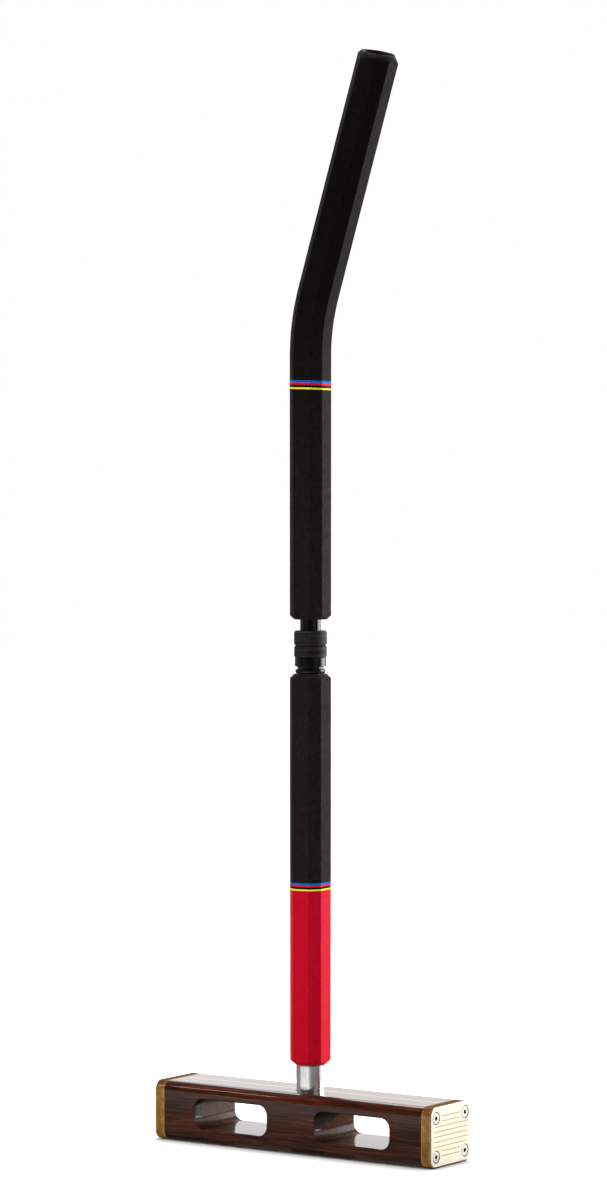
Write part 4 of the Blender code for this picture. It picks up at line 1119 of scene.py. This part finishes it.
# --------------------------------------------------------------------- end cap
CAP_RECESS = 2.4 * MM
cap = lathe("end_cap_moulded", ring_profile(
    [(0.0, -0.30 * MM), (7.8 * MM, -0.15 * MM), (10.6 * MM, 0.0), (11.8 * MM, 0.0),
     (11.8 * MM, -1.8 * MM), (SHELL - 0.3 * MM, -1.8 * MM), (SHELL - 0.3 * MM, -14.0 * MM),
     (SHELL - 1.0 * MM, -15.0 * MM), (0.0, -15.0 * MM)],
    [1.0 * MM, 0.5 * MM, 0.45 * MM, 0.1 * MM, 0.2 * MM, 0.3 * MM, 0.3 * MM], 4), 96)
spot, side_way, way = axis_frame(handle_end - CAP_RECESS)
cap.data.transform(Matrix.Rotation(UP_TURN, 4, "Z") @ Matrix.Translation(spot)
                   @ Matrix.Rotation(BEND_ANGLE, 4, "Y"))
dress(cap, HANDLE, CAP, ["end_cap"])

# --------------------------------------- pieces kept as they are, new finishes
KEPT = {"tube_plug": TUBE, "upper_tube": TUBE, "socket_pin": STEEL, "spigot_pin": STEEL,
        "index_pin": STEEL, "slip_washer": NYLON}
for name in NODES:
    if name.startswith("insert_"):
        KEPT[name] = INSERT
for name, mat in KEPT.items():
    NODES[name].data.materials.clear()
    NODES[name].data.materials.append(mat)

# ---------------------------------------------------------------------- stage
bm = bmesh.new()
bmesh.ops.create_circle(bm, cap_ends=True, segments=96, radius=9.0)
floor_mesh = bpy.data.meshes.new("floor")
bm.to_mesh(floor_mesh)
bm.free()
floor = bpy.data.objects.new("floor", floor_mesh)
floor.location = (0.0, 0.0, -0.0003)
scene.collection.objects.link(floor)
paper = Shader("white_paper")
fibre = paper.noise(paper.place((400.0, 400.0, 400.0)), 1.0, 3.0, 0.6)
paper.set(Base_Color=paper.ramp(fibre, [(0.3, (0.90, 0.895, 0.90)), (0.7, (0.93, 0.925, 0.93))]),
          Roughness=paper.remap(fibre, 0.3, 0.7, 0.95, 0.85))
paper.set(Specular_IOR_Level=0.1, Emission_Color=(1.0, 1.0, 1.0, 1.0))
where = paper.split()
reach = paper.tree.nodes.new("ShaderNodeVectorMath")
reach.operation = "LENGTH"
paper.plug(paper.coords, reach.inputs[0])
# painted shadow: the paper's glow is low right round the head's footprint and rises with distance from it
clear_x = paper.math("MAXIMUM", paper.math("SUBTRACT", paper.math("ABSOLUTE", where["X"]), 0.139), 0.0)
clear_y = paper.math("MAXIMUM", paper.math("SUBTRACT", paper.math("ABSOLUTE", where["Y"]), 0.024), 0.0)
clear = paper.math("SQRT", paper.math("ADD", paper.math("MULTIPLY", clear_x, clear_x),
                                      paper.math("MULTIPLY", clear_y, clear_y)))
contact = paper.math("ADD", paper.remap(clear, 0.0005, 0.0260, 0.02, 0.64, smooth=True),
                     paper.remap(clear, 0.020, 0.150, 0.0, 0.30, smooth=True))
paper.set(Emission_Strength=paper.math("ADD", contact,
                                       paper.remap(clear, 0.08, 0.60, 0.0, 0.50, smooth=True)))
# painted light: mirror images and bounces see a dark paper with glowing patches, while the camera sees the
# bright paper
dim = paper.tree.nodes.new("ShaderNodeBsdfDiffuse")
dim.inputs["Color"].default_value = (0.05, 0.05, 0.05, 1.0)
glow = paper.tree.nodes.new("ShaderNodeEmission")
# painted pools of light and shade on the sweep, which the bare tube and the striking face mirror
def painted_patch(name, x, y, outer, inner, level):
    dx, dy = paper.math("SUBTRACT", where["X"], x), paper.math("SUBTRACT", where["Y"], y)
    off = paper.math("SQRT", paper.math("ADD", paper.math("MULTIPLY", dx, dx),
                                        paper.math("MULTIPLY", dy, dy)))
    spread = paper.remap(off, outer, inner, 0.0, level, smooth=True)
    spread.node.name = name
    return spread


patch = paper.math("ADD", painted_patch("floor_patch", -0.15, -0.56, 0.45, 0.30, 0.78),
                   painted_patch("floor_patch_end", 0.31, 0.34, 0.28, 0.14, 1.02))
patch = paper.math("ADD", patch, painted_patch("floor_patch_low", 0.190, 0.052, 0.062, 0.032, 0.70))
patch = paper.math("ADD", patch, painted_patch("floor_patch_rear", 0.03, 0.44, 0.22, 0.14, 1.00))
patch = paper.math("ADD", patch, painted_patch("floor_patch_front", 0.16, -0.36, 0.17, 0.06, 0.26))
patch = paper.math("ADD", patch, painted_patch("floor_patch_back", -0.03, 0.15, 0.11, 0.05, 0.80))
patch = paper.math("SUBTRACT", patch, painted_patch("floor_shade", 0.125, 0.14, 0.085, 0.045, 0.27))
# painted light: in mirror images the paper glows more within 0.7 m of the mallet
near = paper.remap(reach.outputs["Value"], 1.60, 0.70, 0.05, 0.22, smooth=True)
base_glow = paper.math("ADD", patch, near)
base_glow.node.name = "floor_glow"
paper.plug(base_glow, glow.inputs["Strength"])
both = paper.tree.nodes.new("ShaderNodeAddShader")
paper.tree.links.new(dim.outputs[0], both.inputs[0])
paper.tree.links.new(glow.outputs[0], both.inputs[1])
choice = paper.tree.nodes.new("ShaderNodeMixShader")
paper.tree.links.new(paper.tree.nodes.new("ShaderNodeLightPath").outputs["Is Camera Ray"],
                     choice.inputs[0])
paper.tree.links.new(both.outputs[0], choice.inputs[1])
paper.tree.links.new(paper.bsdf.outputs[0], choice.inputs[2])
paper.tree.links.new(choice.outputs[0], paper.tree.nodes["Material Output"].inputs["Surface"])
floor.data.materials.append(paper.mat)

# --------------------------------------------------------------------- lights
# Directions round the mallet are given as an angle to the right of the camera's side.
VIEW = -math.pi / 2.0 + CAM_AZ


def away(right_of_camera, up):
    a = VIEW + math.radians(right_of_camera)
    e = math.radians(up)
    return Vector((math.cos(a) * math.cos(e), math.sin(a) * math.cos(e), math.sin(e)))


world = bpy.data.worlds.new("studio")
world.use_nodes = True
scene.world = world
wt = world.node_tree
background = wt.nodes["Background"]
direction = wt.nodes.new("ShaderNodeTexCoord").outputs["Generated"]


def world_math(operation, a, b):
    node = wt.nodes.new("ShaderNodeMath")
    node.operation = operation
    for value, socket in ((a, node.inputs[0]), (b, node.inputs[1])):
        if isinstance(value, bpy.types.NodeSocket):
            wt.links.new(value, socket)
        else:
            socket.default_value = value
    return node.outputs[0]


def lobe(right_of_camera, up, inner, outer, level):
    """A soft round patch of light in the surroundings, inner and outer in degrees."""
    dot = wt.nodes.new("ShaderNodeVectorMath")
    dot.operation = "DOT_PRODUCT"
    wt.links.new(direction, dot.inputs[0])
    dot.inputs[1].default_value = away(right_of_camera, up)
    spread = wt.nodes.new("ShaderNodeMapRange")
    spread.interpolation_type = "SMOOTHSTEP"
    wt.links.new(dot.outputs["Value"], spread.inputs["Value"])
    spread.inputs["From Min"].default_value = math.cos(math.radians(outer))
    spread.inputs["From Max"].default_value = math.cos(math.radians(inner))
    spread.name = "lobe_%d_%d" % (right_of_camera, up)
    spread.inputs["To Min"].default_value = 0.0
    spread.inputs["To Max"].default_value = level
    return spread.outputs["Result"]


level = 0.05
for patch in ((180.0, 6.0, 16.0, 42.0, 1.30),     # the lit backdrop
              (-112.0, 4.0, 14.0, 44.0, 0.55),    # a wide fill from the left
              (-45.0, 0.0, 10.0, 28.0, 0.20),
              (45.0, 0.0, 8.0, 24.0, 0.50),
              (146.0, 0.0, 16.0, 26.0, 1.60),
              (-157.0, 3.0, 10.0, 24.0, 0.80),
              (0.0, 90.0, 20.0, 60.0, 0.20)):
    level = world_math("ADD", lobe(*patch), level)
rays = wt.nodes.new("ShaderNodeLightPath")
seen = rays.outputs["Is Camera Ray"]
strength = world_math("ADD", world_math("MULTIPLY", seen, 1.0),
                      world_math("MULTIPLY", world_math("SUBTRACT", 1.0, seen), level))
background.inputs["Color"].default_value = (1.0, 1.0, 1.0, 1.0)
wt.links.new(strength, background.inputs["Strength"])


def softbox(name, right_of_camera, up, distance, size, power, aim=(0.0, 0.0, 0.40),
            mirrored=True, diffuse=True):
    data = bpy.data.lights.new(name, "AREA")
    data.shape = "RECTANGLE"
    data.size, data.size_y = size
    data.energy = power
    ob = bpy.data.objects.new(name, data)
    ob.location = Vector(aim) + away(right_of_camera, up) * distance
    facing = (Vector(aim) - ob.location).normalized()
    ob.rotation_euler = facing.to_track_quat("-Z", "Y").to_euler()
    ob.visible_camera = False
    ob.visible_glossy, ob.visible_diffuse = mirrored, diffuse
    scene.collection.objects.link(ob)
    return ob


softbox("key_right", 107.0, 8.0, 1.9, (1.50, 2.3), 76.0, diffuse=False)
softbox("key_high", 107.0, 7.0, 1.9, (1.2, 1.2), 53.0, aim=(0.0, 0.0, 0.18), mirrored=False)
softbox("front_fill", -46.0, 3.0, 0.80, (0.5, 0.4), 1.3, aim=(0.0, 0.0, 0.22), mirrored=False)
softbox("top_soft", -45.0, 68.0, 1.3, (0.7, 0.7), 10.0, aim=(0.0, 0.0, 0.50), mirrored=False)
softbox("overhead", 172.0, 52.0, 2.2, (1.6, 1.2), 30.0, aim=(0.0, 0.0, 0.1))



def edge_strip(first, last, lean, distance, width, power):
    """A thin strip whose mirror image lies along the head's front top edge, first to last."""
    n = Vector((0.0, -math.cos(lean), math.sin(lean)))
    ends, spots = [], []
    for x in (first, last):
        spot = Vector((x, -(WIDTH / 2.0 - EDGE) - EDGE * math.cos(lean),
                       HEIGHT - EDGE + EDGE * math.sin(lean)))
        view = (cam.location - spot).normalized()
        ends.append(spot + (2.0 * n.dot(view) * n - view) * distance)
        spots.append(spot)
    middle, aim = (ends[0] + ends[1]) / 2.0, (spots[0] + spots[1]) / 2.0
    back = (middle - aim).normalized()
    run = ends[1] - ends[0]
    side = (run - back * run.dot(back)).normalized()
    rise = back.cross(side)
    data = bpy.data.lights.new("edge_strip", "AREA")
    data.shape = "RECTANGLE"
    data.size, data.size_y = run.length, width
    data.energy = power
    ob = bpy.data.objects.new("edge_strip", data)
    ob.rotation_euler = Matrix((side, rise, back)).transposed().to_euler()
    ob.location = middle
    ob.visible_camera = False
    ob.visible_diffuse = False
    scene.collection.objects.link(ob)


edge_strip(-0.112, -0.018, math.radians(31.5), 1.8, 0.045, 0.48)
